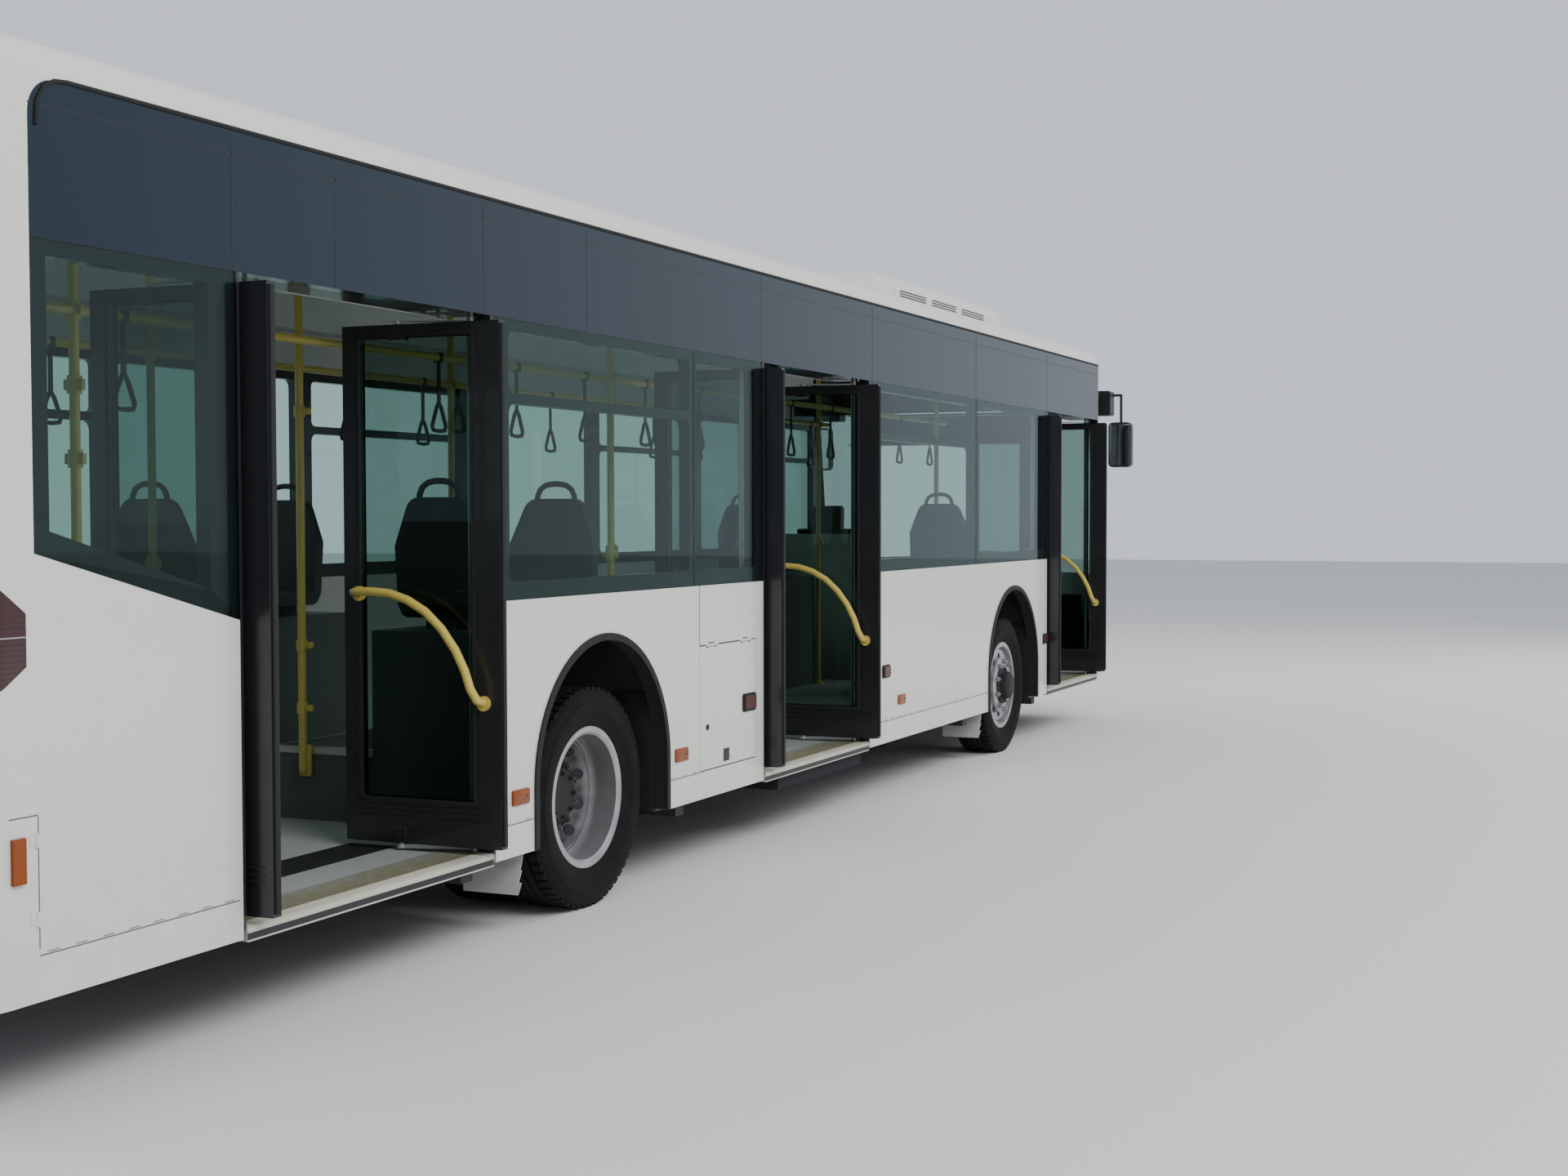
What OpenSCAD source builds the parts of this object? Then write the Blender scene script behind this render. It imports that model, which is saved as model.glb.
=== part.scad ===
// Low floor passenger bus with three double doors on its right side.
// X runs forward, Y to the left, Z up, ground at zero, origin at mid length.

/* [Body] */
// Length of the body over its front and rear skins
body_l = 11980; // [10700:10:14000]
// Width over the side walls
body_w = 2500; // [2200:10:3000]
// Lower edge of the skirt above the ground
skirt_z = 336; // [250:1:450]
// Top face of the flat cabin floor
floor_z = 370; // [340:1:450]
// Line where the white panels end and the glass begins
belt_z = 1325; // [1100:5:1500]
// Lower edge of the dark strip above the doors
header_z = 2400; // [2200:5:2600]
// Upper edge of the dark strip, where the roof begins
band_z = 2830; // [2600:5:3000]
// Radius of the roof's side edges
roof_r = 120; // [60:5:250]
// Rise of the roof from its side edges to the centre line
crown_rise = 30; // [10:5:100]
// Thickness of walls and roof
wall_t = 60; // [40:1:90]
// Thickness of the side glass
glass_t = 7; // [4:1:12]
// Thickness of the cabin floor
floor_t = 45; // [25:1:60]
// Rise of the white panel at the rear corner above the belt
quarter_rise = 226; // [0:1:400]

/* [Front and rear] */
// Length of the front end ahead of the front door frame
nose_l = 406; // [350:1:700]
// Radius of the front corners in plan
front_r = 220; // [100:5:300]
// Radius of the rear corners in plan
rear_r = 120; // [60:5:200]
// How far the front bows out in plan
front_bow = 60; // [20:1:100]
// Lean of the windscreen from upright
rake = 8; // [2:0.5:12]
// Height where the front begins to lean back
rake_z = 1150; // [900:5:1400]
// Radius where front and roof meet
brow_r = 200; // [80:5:300]
// Radius where rear wall and roof meet
tail_r = 150; // [60:5:250]
// Height of the joint between bumpers and panels
bumper_z = 560; // [450:5:700]
// Distance of the rear split from the rear skin
rear_split = 225; // [150:5:300]
// Depth of the windscreen's return along the sides
screen_side = 190; // [80:5:300]
// Height of the dark strip above the windscreen
brow_h = 323; // [250:1:400]
// Thickness of the windscreen
screen_t = 14; // [8:1:30]
// Half width of the lid behind the engine
lid_y = 900; // [600:5:950]
// Lower edge of the lid behind the engine
lid_z0 = 600; // [580:5:700]
// Upper edge of the lid behind the engine
lid_z1 = 1250; // [1000:5:1400]
// Gap round the lids
lid_gap = 6; // [3:0.5:10]

/* [Wheels] */
// Distance between front and rear axle
wheelbase = 5875; // [5000:5:6600]
// Share of the spare body length that lies between front arch and front door
front_share = 0.1854; // [0.05:0.01:0.4]
// Share of the spare body length that lies between rear door and rear arch
rear_share = 0.2152; // [0.05:0.01:0.4]
// Height of the wheel centres and radius of the tyres
tyre_r = 465; // [430:1:500]
// Width of one tyre
tyre_w = 270; // [240:1:290]
// Space between the two tyres of a rear pair
twin_gap = 36; // [20:1:50]
// Distance of the outer tyre faces inside the body side
tyre_inset = 57; // [40:1:100]
// Radius of the rim where the tyre ends
rim_r = 298; // [270:1:320]
// Width of the wheel arches
arch_w = 1130; // [1100:5:1300]
// Height of the top of the wheel arches
arch_top_z = 1140; // [1080:5:1300]
// Distance of the steering pivots from the outer tyre faces
kingpin_in = 258; // [250:1:300]
// Space between the inner twin tyre and the wall of its wheel box
box_room = 87; // [70:1:120]
// Top face of the wheel boxes
box_top_z = 1185; // [1170:5:1350]
// Radius of a wheel's bearing stub
stub_r = 41.7; // [30:0.1:45]
// Running gap of pins, stubs and hinges
fit_gap = 0.3; // [0.2:0.05:0.5]

/* [Doors] */
// Share of the length between the arches where the middle door stands
mid_share = 0.3768; // [0.3:0.01:0.7]
// Width of one door leaf
leaf_w = 700; // [600:5:720]
// Thickness of a door leaf
leaf_t = 40; // [25:1:50]
// Space under the door leaves
leaf_low = 30; // [25:1:60]
// Space above the door leaves
leaf_top = 25; // [24:1:60]
// Space between two closed leaves
leaf_gap = 20; // [18:1:40]
// Space between a closed leaf and its jamb
jamb_gap = 10; // [6:1:30]
// Thickness of the door frame in the opening
jamb_t = 14; // [8:1:40]
// How far an open leaf stands out of the side
leaf_proud = 80; // [60:1:100]
// Space from jamb line to the outer face of an open leaf
open_gap = 20; // [15:1:40]
// Distance of the leaf pivot from the leaf's jamb edge
pivot_p = 240; // [200:5:280]
// Offset of the turning column behind the jamb line
column_e = 40; // [35:1:60]
// Radius of the turning columns
column_r = 20; // [12:1:25]
// Radius of the leaf pins
leaf_pin_r = 12; // [8:1:14]
// Width of the leaf frame at the edge that stands outside
stile_out = 120; // [50:1:150]
// Width of the leaf frame at the inner edge
stile_in = 70; // [50:1:120]
// Height of the leaf frame below and above the glass
rail_low = 170; // [80:1:250]
// Height of the leaf frame above the glass
rail_up = 45; // [42:1:80]

/* [Cabin] */
// Height of the overhead rails
rail_z = 2330; // [1900:5:2400]
// Radius of the grab poles
pole_r = 17; // [12:1:25]
// Distance of the overhead rails from the centre line
rail_y = 470; // [350:5:600]
// Height of the step in front of the seats over the right rear wheels
podium_z = 675; // [500:5:800]
// Left edge of that step
podium_y = 90; // [-200:5:150]
// Width of a passenger seat
seat_w = 430; // [380:5:450]
// Height of a passenger seat's back above its foot
seat_h = 540; // [450:5:650]
// Top face of the cover over the engine
cover_z = 1240; // [1100:5:1300]

/* [Hidden] */
$fn = 48;
hw = body_w / 2;
xr = -body_l / 2;
xf = body_l / 2;
in_y = hw - wall_t;
far = hw + 50;
roof_edge_z = band_z + roof_r;
crown_z = roof_edge_z + crown_rise;
ceiling_z = crown_z - wall_t;
arch_r = arch_w / 2;
arch_cz = arch_top_z - arch_r;
under_z = floor_z - floor_t;
beam_h = 65;
beam_z = under_z - beam_h;

// Door frame and leaves.
half_leafs = leaf_w + leaf_gap / 2;
half_clear = half_leafs + jamb_gap;
half_open = half_clear + jamb_t;
leaf_z0 = floor_z + leaf_low;
leaf_z1 = header_z - leaf_top;

// Places along X, shared out from the spare length of the body.
x_rs = xr + rear_split;
x_fs = xf - nose_l;
spare = body_l - wheelbase - arch_w - 4 * half_open - nose_l - rear_split;
front_axle_x = round(x_fs - 2 * half_open - front_share * spare - arch_r);
rear_axle_x = front_axle_x - wheelbase;
door_x = [round(rear_axle_x - arch_r - rear_share * spare - half_open),
    round(rear_axle_x + arch_r + mid_share * (wheelbase - arch_w)),
    x_fs - half_open];
bay_x = door_x[0] - half_open - wall_t - 100;

// Wheels across the body.
wheel_y = hw - tyre_inset - tyre_w / 2;
twin_y = wheel_y - tyre_w - twin_gap;
box_inner_y = twin_y - tyre_w / 2 - box_room;
kingpin_y = hw - tyre_inset - kingpin_in;
box_wall = 30;

// Windscreen along its own slope, from its lower edge above the lean line.
screen_low = 40;
screen_h = (band_z - brow_h - rake_z) / cos(rake) - screen_low;

// Front end in plan.
bow_half = hw - front_r;
bow_r = (bow_half * bow_half + front_bow * front_bow) / (2 * front_bow);
bow_x = xf - bow_r;
corner_x = bow_x + sqrt(pow(bow_r - front_r, 2) - pow(bow_half, 2));
bow_a = atan2(bow_half, corner_x - bow_x);

// Pivot and column of a leaf, from its jamb line and the outer wall face.
closed_px = -pivot_p;
closed_py = leaf_t / 2;
open_px = -open_gap - leaf_t / 2;
open_py = leaf_w - leaf_proud - pivot_p;
column_y = (pow(column_e - open_px, 2) - pow(column_e - closed_px, 2)
    + open_py * open_py - closed_py * closed_py) / (2 * (open_py - closed_py));

function arc(cx, cy, r, a0, a1, n) =
    [for (k = [0:n]) [cx + r * cos(a0 + (a1 - a0) * k / n), cy + r * sin(a0 + (a1 - a0) * k / n)]];

// Rectangle from corner to corner with corners of radius r.
function rrect(x0, x1, y0, y1, r, n = 4) = concat(
    arc(x1 - r, y1 - r, r, 0, 90, n), arc(x0 + r, y1 - r, r, 90, 180, n),
    arc(x0 + r, y0 + r, r, 180, 270, n), arc(x1 - r, y0 + r, r, 270, 360, n));

module blk(x0, x1, y0, y1, z0, z1) {
    translate([x0, y0, z0]) cube([x1 - x0, y1 - y0, z1 - z0]);
}

module pair_y() {
    children();
    mirror([0, 1, 0]) children();
}

module along_x(x0, x1) {
    translate([x0, 0, 0]) rotate([90, 0, 90]) linear_extrude(height = x1 - x0) children();
}

module across_y(y0, y1) {
    translate([0, y1, 0]) rotate([90, 0, 0]) linear_extrude(height = y1 - y0) children();
}

// Rod along Y through the origin, centred on it.
module rod_y(len, r, n = 24) {
    rotate([90, 0, 0]) cylinder(r = r, h = len, center = true, $fn = n);
}

// Body in plan at inset i.
module plan2d(i, back) {
    polygon(concat(
        arc(corner_x, -bow_half, front_r - i, -90, -bow_a, 14),
        arc(bow_x, 0, bow_r - i, -bow_a + 1, bow_a - 1, 10),
        arc(corner_x, bow_half, front_r - i, bow_a, 90, 14),
        back ? [[xr - 2000, hw - i], [xr - 2000, -hw + i]] :
            concat(arc(xr + rear_r, hw - rear_r, rear_r - i, 90, 180, 12),
            arc(xr + rear_r, -hw + rear_r, rear_r - i, 180, 270, 12))));
}

module form_v(i) {
    translate([0, 0, skirt_z - 200]) linear_extrude(height = crown_z) plan2d(i, false);
}

module lean() {
    translate([xf, 0, rake_z]) rotate([0, -rake, 0]) translate([-xf, 0, 0]) children();
}

module form_l(i) {
    lean() translate([0, 0, -1500]) linear_extrude(height = 7500) plan2d(i, true);
}

module roof_section(i) {
    polygon(concat(
        [[hw - i, skirt_z], [hw - i, band_z]],
        arc(hw - roof_r, band_z, roof_r - i, 6, 90, 14),
        [for (k = [1:9]) let (y = (hw - roof_r) * (1 - k / 5))
            [y, roof_edge_z - i + crown_rise * (1 - pow(y / (hw - roof_r), 2))]],
        arc(-hw + roof_r, band_z, roof_r - i, 90, 174, 14),
        [[-hw + i, band_z], [-hw + i, skirt_z]]));
}

module side_profile(i) {
    bx = xf - tan(rake) * (crown_z - brow_r - rake_z) - brow_r / cos(rake);
    polygon(concat(
        [[xr + i, skirt_z], [xf + 100, skirt_z], [xf + 100, rake_z]],
        arc(bx, crown_z - brow_r, brow_r - i, rake, 90, 10),
        arc(xr + tail_r, crown_z - tail_r, tail_r - i, 90, 180, 10)));
}

module form_top(i) {
    intersection() {
        form_v(i);
        form_l(i);
        along_x(xr - 10, xf + 10) roof_section(i);
        across_y(-hw - 10, hw + 10) side_profile(i);
    }
}

// Wall of the upright body between two heights.
module ring_v(z0, z1) {
    intersection() {
        difference() {
            form_v(0);
            form_v(wall_t);
        }
        blk(xr - 50, xf + 50, -far, far, z0, z1);
    }
}

module wheel_arch(x) {
    across_y(-far, far) {
        translate([x, arch_cz]) circle(r = arch_r, $fn = 72);
        translate([x - arch_r, 0]) square([arch_w, arch_cz]);
    }
}

// Service flap as values: rear end, front end, lower and upper edge.
flap_x1 = door_x[1] - half_open - 90;
flap_x0 = flap_x1 - 628;
flap_z0 = floor_z + 98;
flap_z1 = belt_z - 281;
flap_t = 30;
flap_hinges = [flap_x0 + 124, flap_x1 - 124];
flap_axis_z = flap_z1 + lid_gap / 2;

// Lid behind the engine.
lid_hinges = [-0.69 * lid_y, 0, 0.69 * lid_y];
lid_axis_z = lid_z1 + lid_gap / 2;
lid_t = 40;

// Barrel hinge along Y: barrel radius, pin radius, length of the middle barrel.
lid_barrel = [9, 4, 123];
flap_barrel = [7, 3, 63];
barrel_end = 26;

module hinge_fixed(b) {
    rod_y(b[2] + 2 * barrel_end, b[1]);
    for (s = [-1, 1]) translate([0, s * (b[2] + barrel_end + 1) / 2, 0]) rod_y(barrel_end, b[0]);
}

module hinge_pocket(b) {
    rod_y(b[2], b[0] + 6);
}

module hinge_leaf(b) {
    rod_y(b[2], b[0]);
}

module hinge_bore(b) {
    rod_y(b[2] + 2 * barrel_end + 6, b[1] + fit_gap);
    for (s = [-1, 1]) translate([0, s * (b[2] + barrel_end + 1) / 2, 0])
        rod_y(barrel_end + 1, b[0] + 6);
}

module at_lid_hinges() {
    for (y = lid_hinges) translate([xr, y, lid_axis_z]) children();
}

module at_flap_hinges() {
    for (x = flap_hinges) translate([x, -hw, flap_axis_z]) rotate([0, 0, 90]) children();
}

module side_panels_right() {
    color("white") {
        at_flap_hinges() hinge_fixed(flap_barrel);
        difference() {
            union() {
                // rear panel with its sloped upper edge
                across_y(-hw, -in_y) polygon([[x_rs, skirt_z], [door_x[0] - half_open, skirt_z],
                    [door_x[0] - half_open, belt_z + 5], [x_rs, belt_z + quarter_rise]]);
                for (d = [0, 1])
                    blk(door_x[d] + half_open, door_x[d + 1] - half_open, -hw, -in_y, skirt_z, belt_z);
            }
            wheel_arch(front_axle_x);
            wheel_arch(rear_axle_x);
            blk(flap_x0 - lid_gap, flap_x1 + lid_gap, -far, -in_y + 5,
                flap_z0 - lid_gap, flap_z1 + lid_gap);
            at_flap_hinges() hinge_pocket(flap_barrel);
        }
    }
}

module service_flap() {
    color("white") difference() {
        union() {
            blk(flap_x0, flap_x1, -hw, -hw + flap_t, flap_z0, flap_z1);
            at_flap_hinges() hinge_leaf(flap_barrel);
        }
        at_flap_hinges() hinge_bore(flap_barrel);
    }
}

module side_panel_left() {
    color("white") difference() {
        blk(x_rs, x_fs, in_y, hw, skirt_z, belt_z);
        wheel_arch(front_axle_x);
        wheel_arch(rear_axle_x);
    }
}

// Clear openings of the windows, between their lower and upper edges.
win_z0 = belt_z + 70;
win_z1 = header_z - 45;
hopper_z = [header_z - 320, header_z - 280];

// Bays of the right side: rear end, front end, place of the post as a share.
right_bays = [
    [door_x[0] + half_open, door_x[1] - half_open, 0.689],
    [door_x[1] + half_open, door_x[2] - half_open, 0.5346]];

function post_x(b) = b[0] + b[2] * (b[1] - b[0]);

// Bays of the left side: posts as shares of its length.
left_posts = [0, 0.1115, 0.2595, 0.3864, 0.5238, 0.6613, 0.7987, 0.908, 1];

function left_x(k) = x_rs + left_posts[k] * (x_fs - x_rs);

// Window with a hopper pane above a cross bar, or one clear pane.
module window_hole(x0, x1, hopper, y0, y1) {
    across_y(y0, y1) {
        if (hopper) {
            polygon(rrect(x0, x1, win_z0, hopper_z[0], 40));
            polygon(rrect(x0, x1, hopper_z[1], win_z1, 30));
        } else {
            polygon(rrect(x0, x1, win_z0, win_z1, 40));
        }
    }
}

module window_frames_right() {
    color("black") difference() {
        union() {
            across_y(-hw + glass_t, -in_y) polygon([[x_rs, belt_z + quarter_rise],
                [door_x[0] - half_open, belt_z + 5], [door_x[0] - half_open, header_z], [x_rs, header_z]]);
            for (b = right_bays) blk(b[0], b[1], -hw + glass_t, -in_y, belt_z, header_z);
        }
        across_y(-far, -in_y + 5) polygon([[x_rs + 65, belt_z + quarter_rise + 59],
            [door_x[0] - half_open - 124, belt_z + 105], [door_x[0] - half_open - 124, win_z1],
            [x_rs + 65, win_z1]]);
        for (b = right_bays) {
            window_hole(b[0] + 125, post_x(b) - 32, true, -far, -in_y + 5);
            window_hole(post_x(b) + 32, b[1] - 80, false, -far, -in_y + 5);
        }
    }
}

module window_frames_left() {
    color("black") difference() {
        blk(x_rs, x_fs, in_y, hw - glass_t, belt_z, header_z);
        for (k = [0:7]) window_hole(left_x(k) + 60, left_x(k + 1) - 60, k % 2 == 1, in_y - 5, far);
    }
}

pane_gap = 8;

module body_glass() {
    color("lightblue", 0.4) {
        across_y(-hw, -hw + glass_t) polygon([[x_rs, belt_z + quarter_rise],
            [door_x[0] - half_open, belt_z + 5], [door_x[0] - half_open, header_z - 4],
            [x_rs, header_z - 4]]);
        for (b = right_bays) {
            blk(b[0], post_x(b) - pane_gap / 2, -hw, -hw + glass_t, belt_z, header_z - 4);
            blk(post_x(b) + pane_gap / 2, b[1], -hw, -hw + glass_t, belt_z, header_z - 4);
        }
        for (k = [0:7]) blk(left_x(k) + pane_gap / 2, left_x(k + 1) - pane_gap / 2,
            hw - glass_t, hw, belt_z, header_z - 4);
        rear_cut(0, glass_t, rear_pane);
    }
}

// Pane and opening in the rear wall: half width, lower and upper edge, corner.
rear_pane = [0.70 * hw, belt_z + 235, header_z - 40, 60];
rear_hole = [0.66 * hw, belt_z + 295, header_z - 100, 40];

module rear_cut(x0, x1, p) {
    along_x(xr + x0, xr + x1) polygon(rrect(-p[0], p[0], p[1], p[2], p[3]));
}

// Height of the folded ramp's box.
ramp_h = 70;

// Rounded upper corner of the dark strip at the rear.
strip_r = 100;

module strip_corner() {
    difference() {
        square([strip_r, strip_r]);
        translate([strip_r, 0]) circle(r = strip_r, $fn = 48);
    }
}

module cantrails() {
    color("black") difference() {
        pair_y() blk(x_rs, x_fs, in_y, hw, header_z, band_z);
        across_y(-far, far) translate([x_rs, band_z - strip_r]) strip_corner();
    }
}

module roof() {
    color("white") difference() {
        form_top(0);
        form_top(wall_t);
        blk(xr - 50, xf + 50, -far, far, 0, band_z);
    }
}

module floor_cut(x) {
    pair_y() blk(x - arch_r - box_wall, x + arch_r + box_wall, box_inner_y - box_wall, hw, 0, crown_z);
}

module floor_plate() {
    color("gray") difference() {
        union() {
            intersection() {
                form_v(wall_t);
                blk(xr + wall_t, x_fs + 180, -in_y, in_y, under_z, floor_z);
            }
            for (x = door_x) blk(x - half_clear, x + half_clear, -hw, -in_y + 1, under_z, floor_z);
        }
        floor_cut(front_axle_x);
        floor_cut(rear_axle_x);
        blk(xr, bay_x, 100, hw, 0, crown_z);
    }
}

module wheel_box(x) {
    difference() {
        blk(x - arch_r - box_wall, x + arch_r + box_wall, box_inner_y - box_wall, in_y, under_z, box_top_z);
        blk(x - arch_r, x + arch_r, box_inner_y, in_y + 5, 0, box_top_z - box_wall);
    }
}

podium_x0 = rear_axle_x - arch_r + 100;

module wheel_boxes() {
    color("dimgray") {
        for (x = [front_axle_x, rear_axle_x]) pair_y() wheel_box(x);
        // hollow step between the right rear wheel box and the aisle
        difference() {
            blk(podium_x0, rear_axle_x + arch_r, -box_inner_y + box_wall, podium_y, floor_z, podium_z);
            blk(podium_x0 + 20, rear_axle_x + arch_r - 20, -box_inner_y, podium_y - 20, 0, podium_z - 20);
        }
    }
}

module door_frames() {
    color("black") {
        for (x = door_x) {
            blk(x - half_open, x - half_clear, -hw, -in_y, floor_z, header_z - fit_gap);
            blk(x + half_clear, x + half_open, -hw, -in_y, floor_z, header_z - fit_gap);
            // housing of the door gear inside, above the opening
            gear_housing(x);
        }
        // box of the folded ramp under the middle door
        blk(door_x[1] - 0.7 * leaf_w, door_x[1] + 0.95 * leaf_w, -hw + 30, -hw + 330,
            under_z - ramp_h, under_z);
    }
}

module gear_housing(x) {
    along_x(x - half_open, x + half_open) polygon([[-in_y, header_z], [-in_y + 150, header_z],
        [-in_y + 150, header_z + 110], [-in_y + 70, header_z + 190], [-in_y, header_z + 190]]);
}

lamp_z = bumper_z + 50;
lamp_y = [0.552 * hw, 0.904 * hw];

module lamp_cut() {
    pair_y() along_x(xf - 420, xf + 50) polygon(rrect(lamp_y[0], lamp_y[1], lamp_z, lamp_z + 200, 60));
}

module front_mask() {
    color("white") difference() {
        intersection() {
            difference() {
                form_v(0);
                form_v(wall_t);
            }
            blk(x_fs, xf + 50, -far, far, bumper_z, rake_z + 300);
            lean() blk(-100, xf + 200, -far, far, -1500, 40);
        }
        lamp_cut();
        // air intake between the lamps
        for (k = [0:3]) along_x(xf - 200, xf + 50)
            polygon(rrect(-0.42 * hw, 0.42 * hw, lamp_z + 44 * k, lamp_z + 24 + 44 * k, 11));
    }
}

module headlamps() {
    color("lightgray") intersection() {
        difference() {
            form_v(6);
            form_v(wall_t);
        }
        lamp_cut();
    }
}

module bumpers() {
    color("white") difference() {
        ring_v(skirt_z, bumper_z);
        blk(x_rs, x_fs, -far, far, 0, 2000);
        // recess of the number plate at the rear
        blk(xr - 50, xr + 15, -270, 270, skirt_z + 60, skirt_z + 180);
    }
}

module screen_cut() {
    lean() blk(xf - screen_side, xf + 200, -far, far, screen_low, screen_low + screen_h);
}

module windscreen() {
    color("lightblue", 0.4) intersection() {
        difference() {
            form_l(0);
            form_l(screen_t);
        }
        screen_cut();
    }
}

module front_pillars() {
    color("black") intersection() {
        difference() {
            form_l(0);
            form_l(wall_t);
        }
        difference() {
            blk(x_fs, xf + 50, -far, far, rake_z - 300, band_z);
            lean() blk(-100, xf + 200, -far, far, -1500, screen_low);
            screen_cut();
        }
    }
}

module rear_wall() {
    color("white") {
        at_lid_hinges() hinge_fixed(lid_barrel);
        pair_y() across_y(in_y, hw) translate([x_rs, band_z - strip_r]) strip_corner();
        difference() {
            intersection() {
                ring_v(bumper_z, band_z);
                blk(xr - 50, x_rs, -far, far, 0, crown_z);
            }
            blk(xr - 50, xr + 200, -lid_y - lid_gap, lid_y + lid_gap, lid_z0 - lid_gap, lid_z1 + lid_gap);
            rear_cut(-50, 200, rear_hole);
            rear_cut(-50, glass_t, rear_pane);
            tail_cut();
            at_lid_hinges() hinge_pocket(lid_barrel);
        }
    }
}

// Outline of a tail lamp where it wraps round the corner, from the rear skin and the belt.
tail_outline = [[-30, -150], [105, -135], [193, -77], [193, 66], [105, 132], [-30, 150]];

module tail_cut() {
    pair_y() intersection() {
        blk(xr - 20, xr + 200, hw - 200, far, belt_z - 160, belt_z + 160);
        translate([xr, 0, belt_z]) across_y(0, far + 10) polygon(tail_outline);
    }
}

module tail_lamps() {
    color("darkred") intersection() {
        difference() {
            form_v(0);
            form_v(wall_t);
        }
        tail_cut();
    }
}

// Louvres of the lid: number and pitch of the slots.
slots = 7;
slot_pitch = (lid_z1 - lid_z0 - 160) / slots;

module engine_lid() {
    color("white") difference() {
        union() {
            blk(xr, xr + lid_t, -lid_y, lid_y, lid_z0, lid_z1);
            at_lid_hinges() hinge_leaf(lid_barrel);
        }
        at_lid_hinges() hinge_bore(lid_barrel);
        for (k = [0:slots - 1]) translate([xr - 5, 0, lid_z0 + 90 + slot_pitch * k]) pair_y()
            along_x(0, lid_t + 10) polygon(rrect(90, lid_y - 90, 0, 0.43 * slot_pitch, 12));
    }
}

pod_x0 = front_axle_x - 1870;
pod_x1 = front_axle_x + 770;
pod_y = 0.72 * hw;
pod_z = crown_z + 180;

module ac_pod() {
    color("white") difference() {
        intersection() {
            along_x(pod_x0, pod_x1) polygon(rrect(-pod_y, pod_y, band_z - 100, pod_z, 90, 8));
            across_y(-hw, hw) polygon(concat(arc(pod_x1 - 130, pod_z - 130, 130, 0, 90, 8),
                arc(pod_x0 + 230, pod_z - 230, 230, 90, 180, 8),
                [[pod_x0, band_z - 50], [pod_x1, band_z - 50]]));
        }
        form_top(0);
        // wells of the two fans
        for (x = [0.36, 0.70]) translate([pod_x0 + x * (pod_x1 - pod_x0), 0, pod_z - 40])
            cylinder(r = 0.26 * hw, h = 60);
    }
}

// Mirror head and its small upper block, from the side wall and the front skin.
mirror_head = [-20, 165, 2035, 2400];
mirror_top = [-155, 20, 2452, 2652];

module mirror_box(m, x0, x1, r) {
    along_x(x0, x1) polygon(rrect(hw + m[0], hw + m[1], m[2], m[3], r));
}

module mirrors() {
    color("black") pair_y() difference() {
        union() {
            mirror_box(mirror_head, xf + 5, xf + 85, 35);
            mirror_box(mirror_top, xf - 100, xf + 40, 20);
            translate([xf + 20, hw + 82, mirror_head[3] - 20]) {
                cylinder(r = 11, h = 240, $fn = 24);
                translate([0, 0, 240]) sphere(r = 11, $fn = 24);
                translate([0, 0, 240]) rotate([90, 0, 0]) cylinder(r = 11, h = 90, $fn = 24);
            }
            blk(xf - 300, xf - 60, hw - 140, hw - 60, mirror_top[3] - 60, mirror_top[3] - 20);
        }
        form_l(0);
    }
}

// Cross members of the frame as columns: place, half length.
cross_beams = [
    [xr + 990, 440],
    [rear_axle_x - arch_r - 350, in_y - 40],
    [rear_axle_x + arch_r + 320, in_y - 40],
    [door_x[1], 440], [0.5 * (door_x[1] + front_axle_x - arch_r), 440],
    [front_axle_x - arch_r - 225, in_y - 40],
    [front_axle_x + arch_r + 245, in_y - 40],
    [x_fs - 384, 440]];
jack_x = [cross_beams[1][0], cross_beams[6][0]];

module chassis() {
    color("dimgray") {
        difference() {
            blk(xf - 420, xf - 90, -55, 55, beam_z, under_z);
            translate([xf - 130, 0, beam_z - 60]) cylinder(r = 20, h = 200, $fn = 32);
        }
        blk(xf - 440, xf - 400, -440, 440, beam_z, under_z);
        pair_y() blk(xr + 100, xf - 400, 360, 440, beam_z, under_z);
        for (b = cross_beams) blk(b[0] - 40, b[0] + 40, -b[1], b[1], beam_z, under_z);
        pair_y() for (x = jack_x) blk(x - 35, x + 35, 765, 835, beam_z - 20, beam_z + 5);
    }
}

module engine_block() {
    color("dimgray") blk(xr + 110, bay_x - 40, 180, hw - 170, under_z, cover_z - 110);
}

module engine_cover() {
    color("gray") difference() {
        intersection() {
            form_v(wall_t + 2);
            blk(xr + wall_t + 12, bay_x, -in_y, in_y, floor_z, cover_z);
        }
        blk(xr, bay_x - 25, -in_y + 25, in_y - 25, 0, cover_z - 25);
    }
}

// Portal axle: low tube, a housing inside each wheel box, a stub for the twin wheels.
axle_tube_r = 50;
axle_z = 210;
hub_bore = 78;

module rear_axle() {
    color("dimgray") {
        translate([rear_axle_x, 0, axle_z]) rod_y(2 * box_inner_y + 60, axle_tube_r, 48);
        pair_y() {
            portal_housing(rear_axle_x);
            blk(rear_axle_x - 60, rear_axle_x + 60, 370, 430, axle_z - 10, beam_z);
            translate([rear_axle_x, box_inner_y + 60, tyre_r]) rotate([-90, 0, 0])
                cylinder(r = hub_bore - fit_gap, h = 280);
        }
    }
}

module portal_housing(x) {
    across_y(box_inner_y + 6, box_inner_y + 70) {
        translate([x, tyre_r]) circle(r = 95);
        translate([x, axle_z]) circle(r = 62);
        translate([x - 60, axle_z]) square([120, tyre_r - axle_z]);
    }
}

// Steered axle: low beam, a fork on each end, a pin and a stub on each knuckle.
fork_z = [370, 405, 520, 555];

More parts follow.
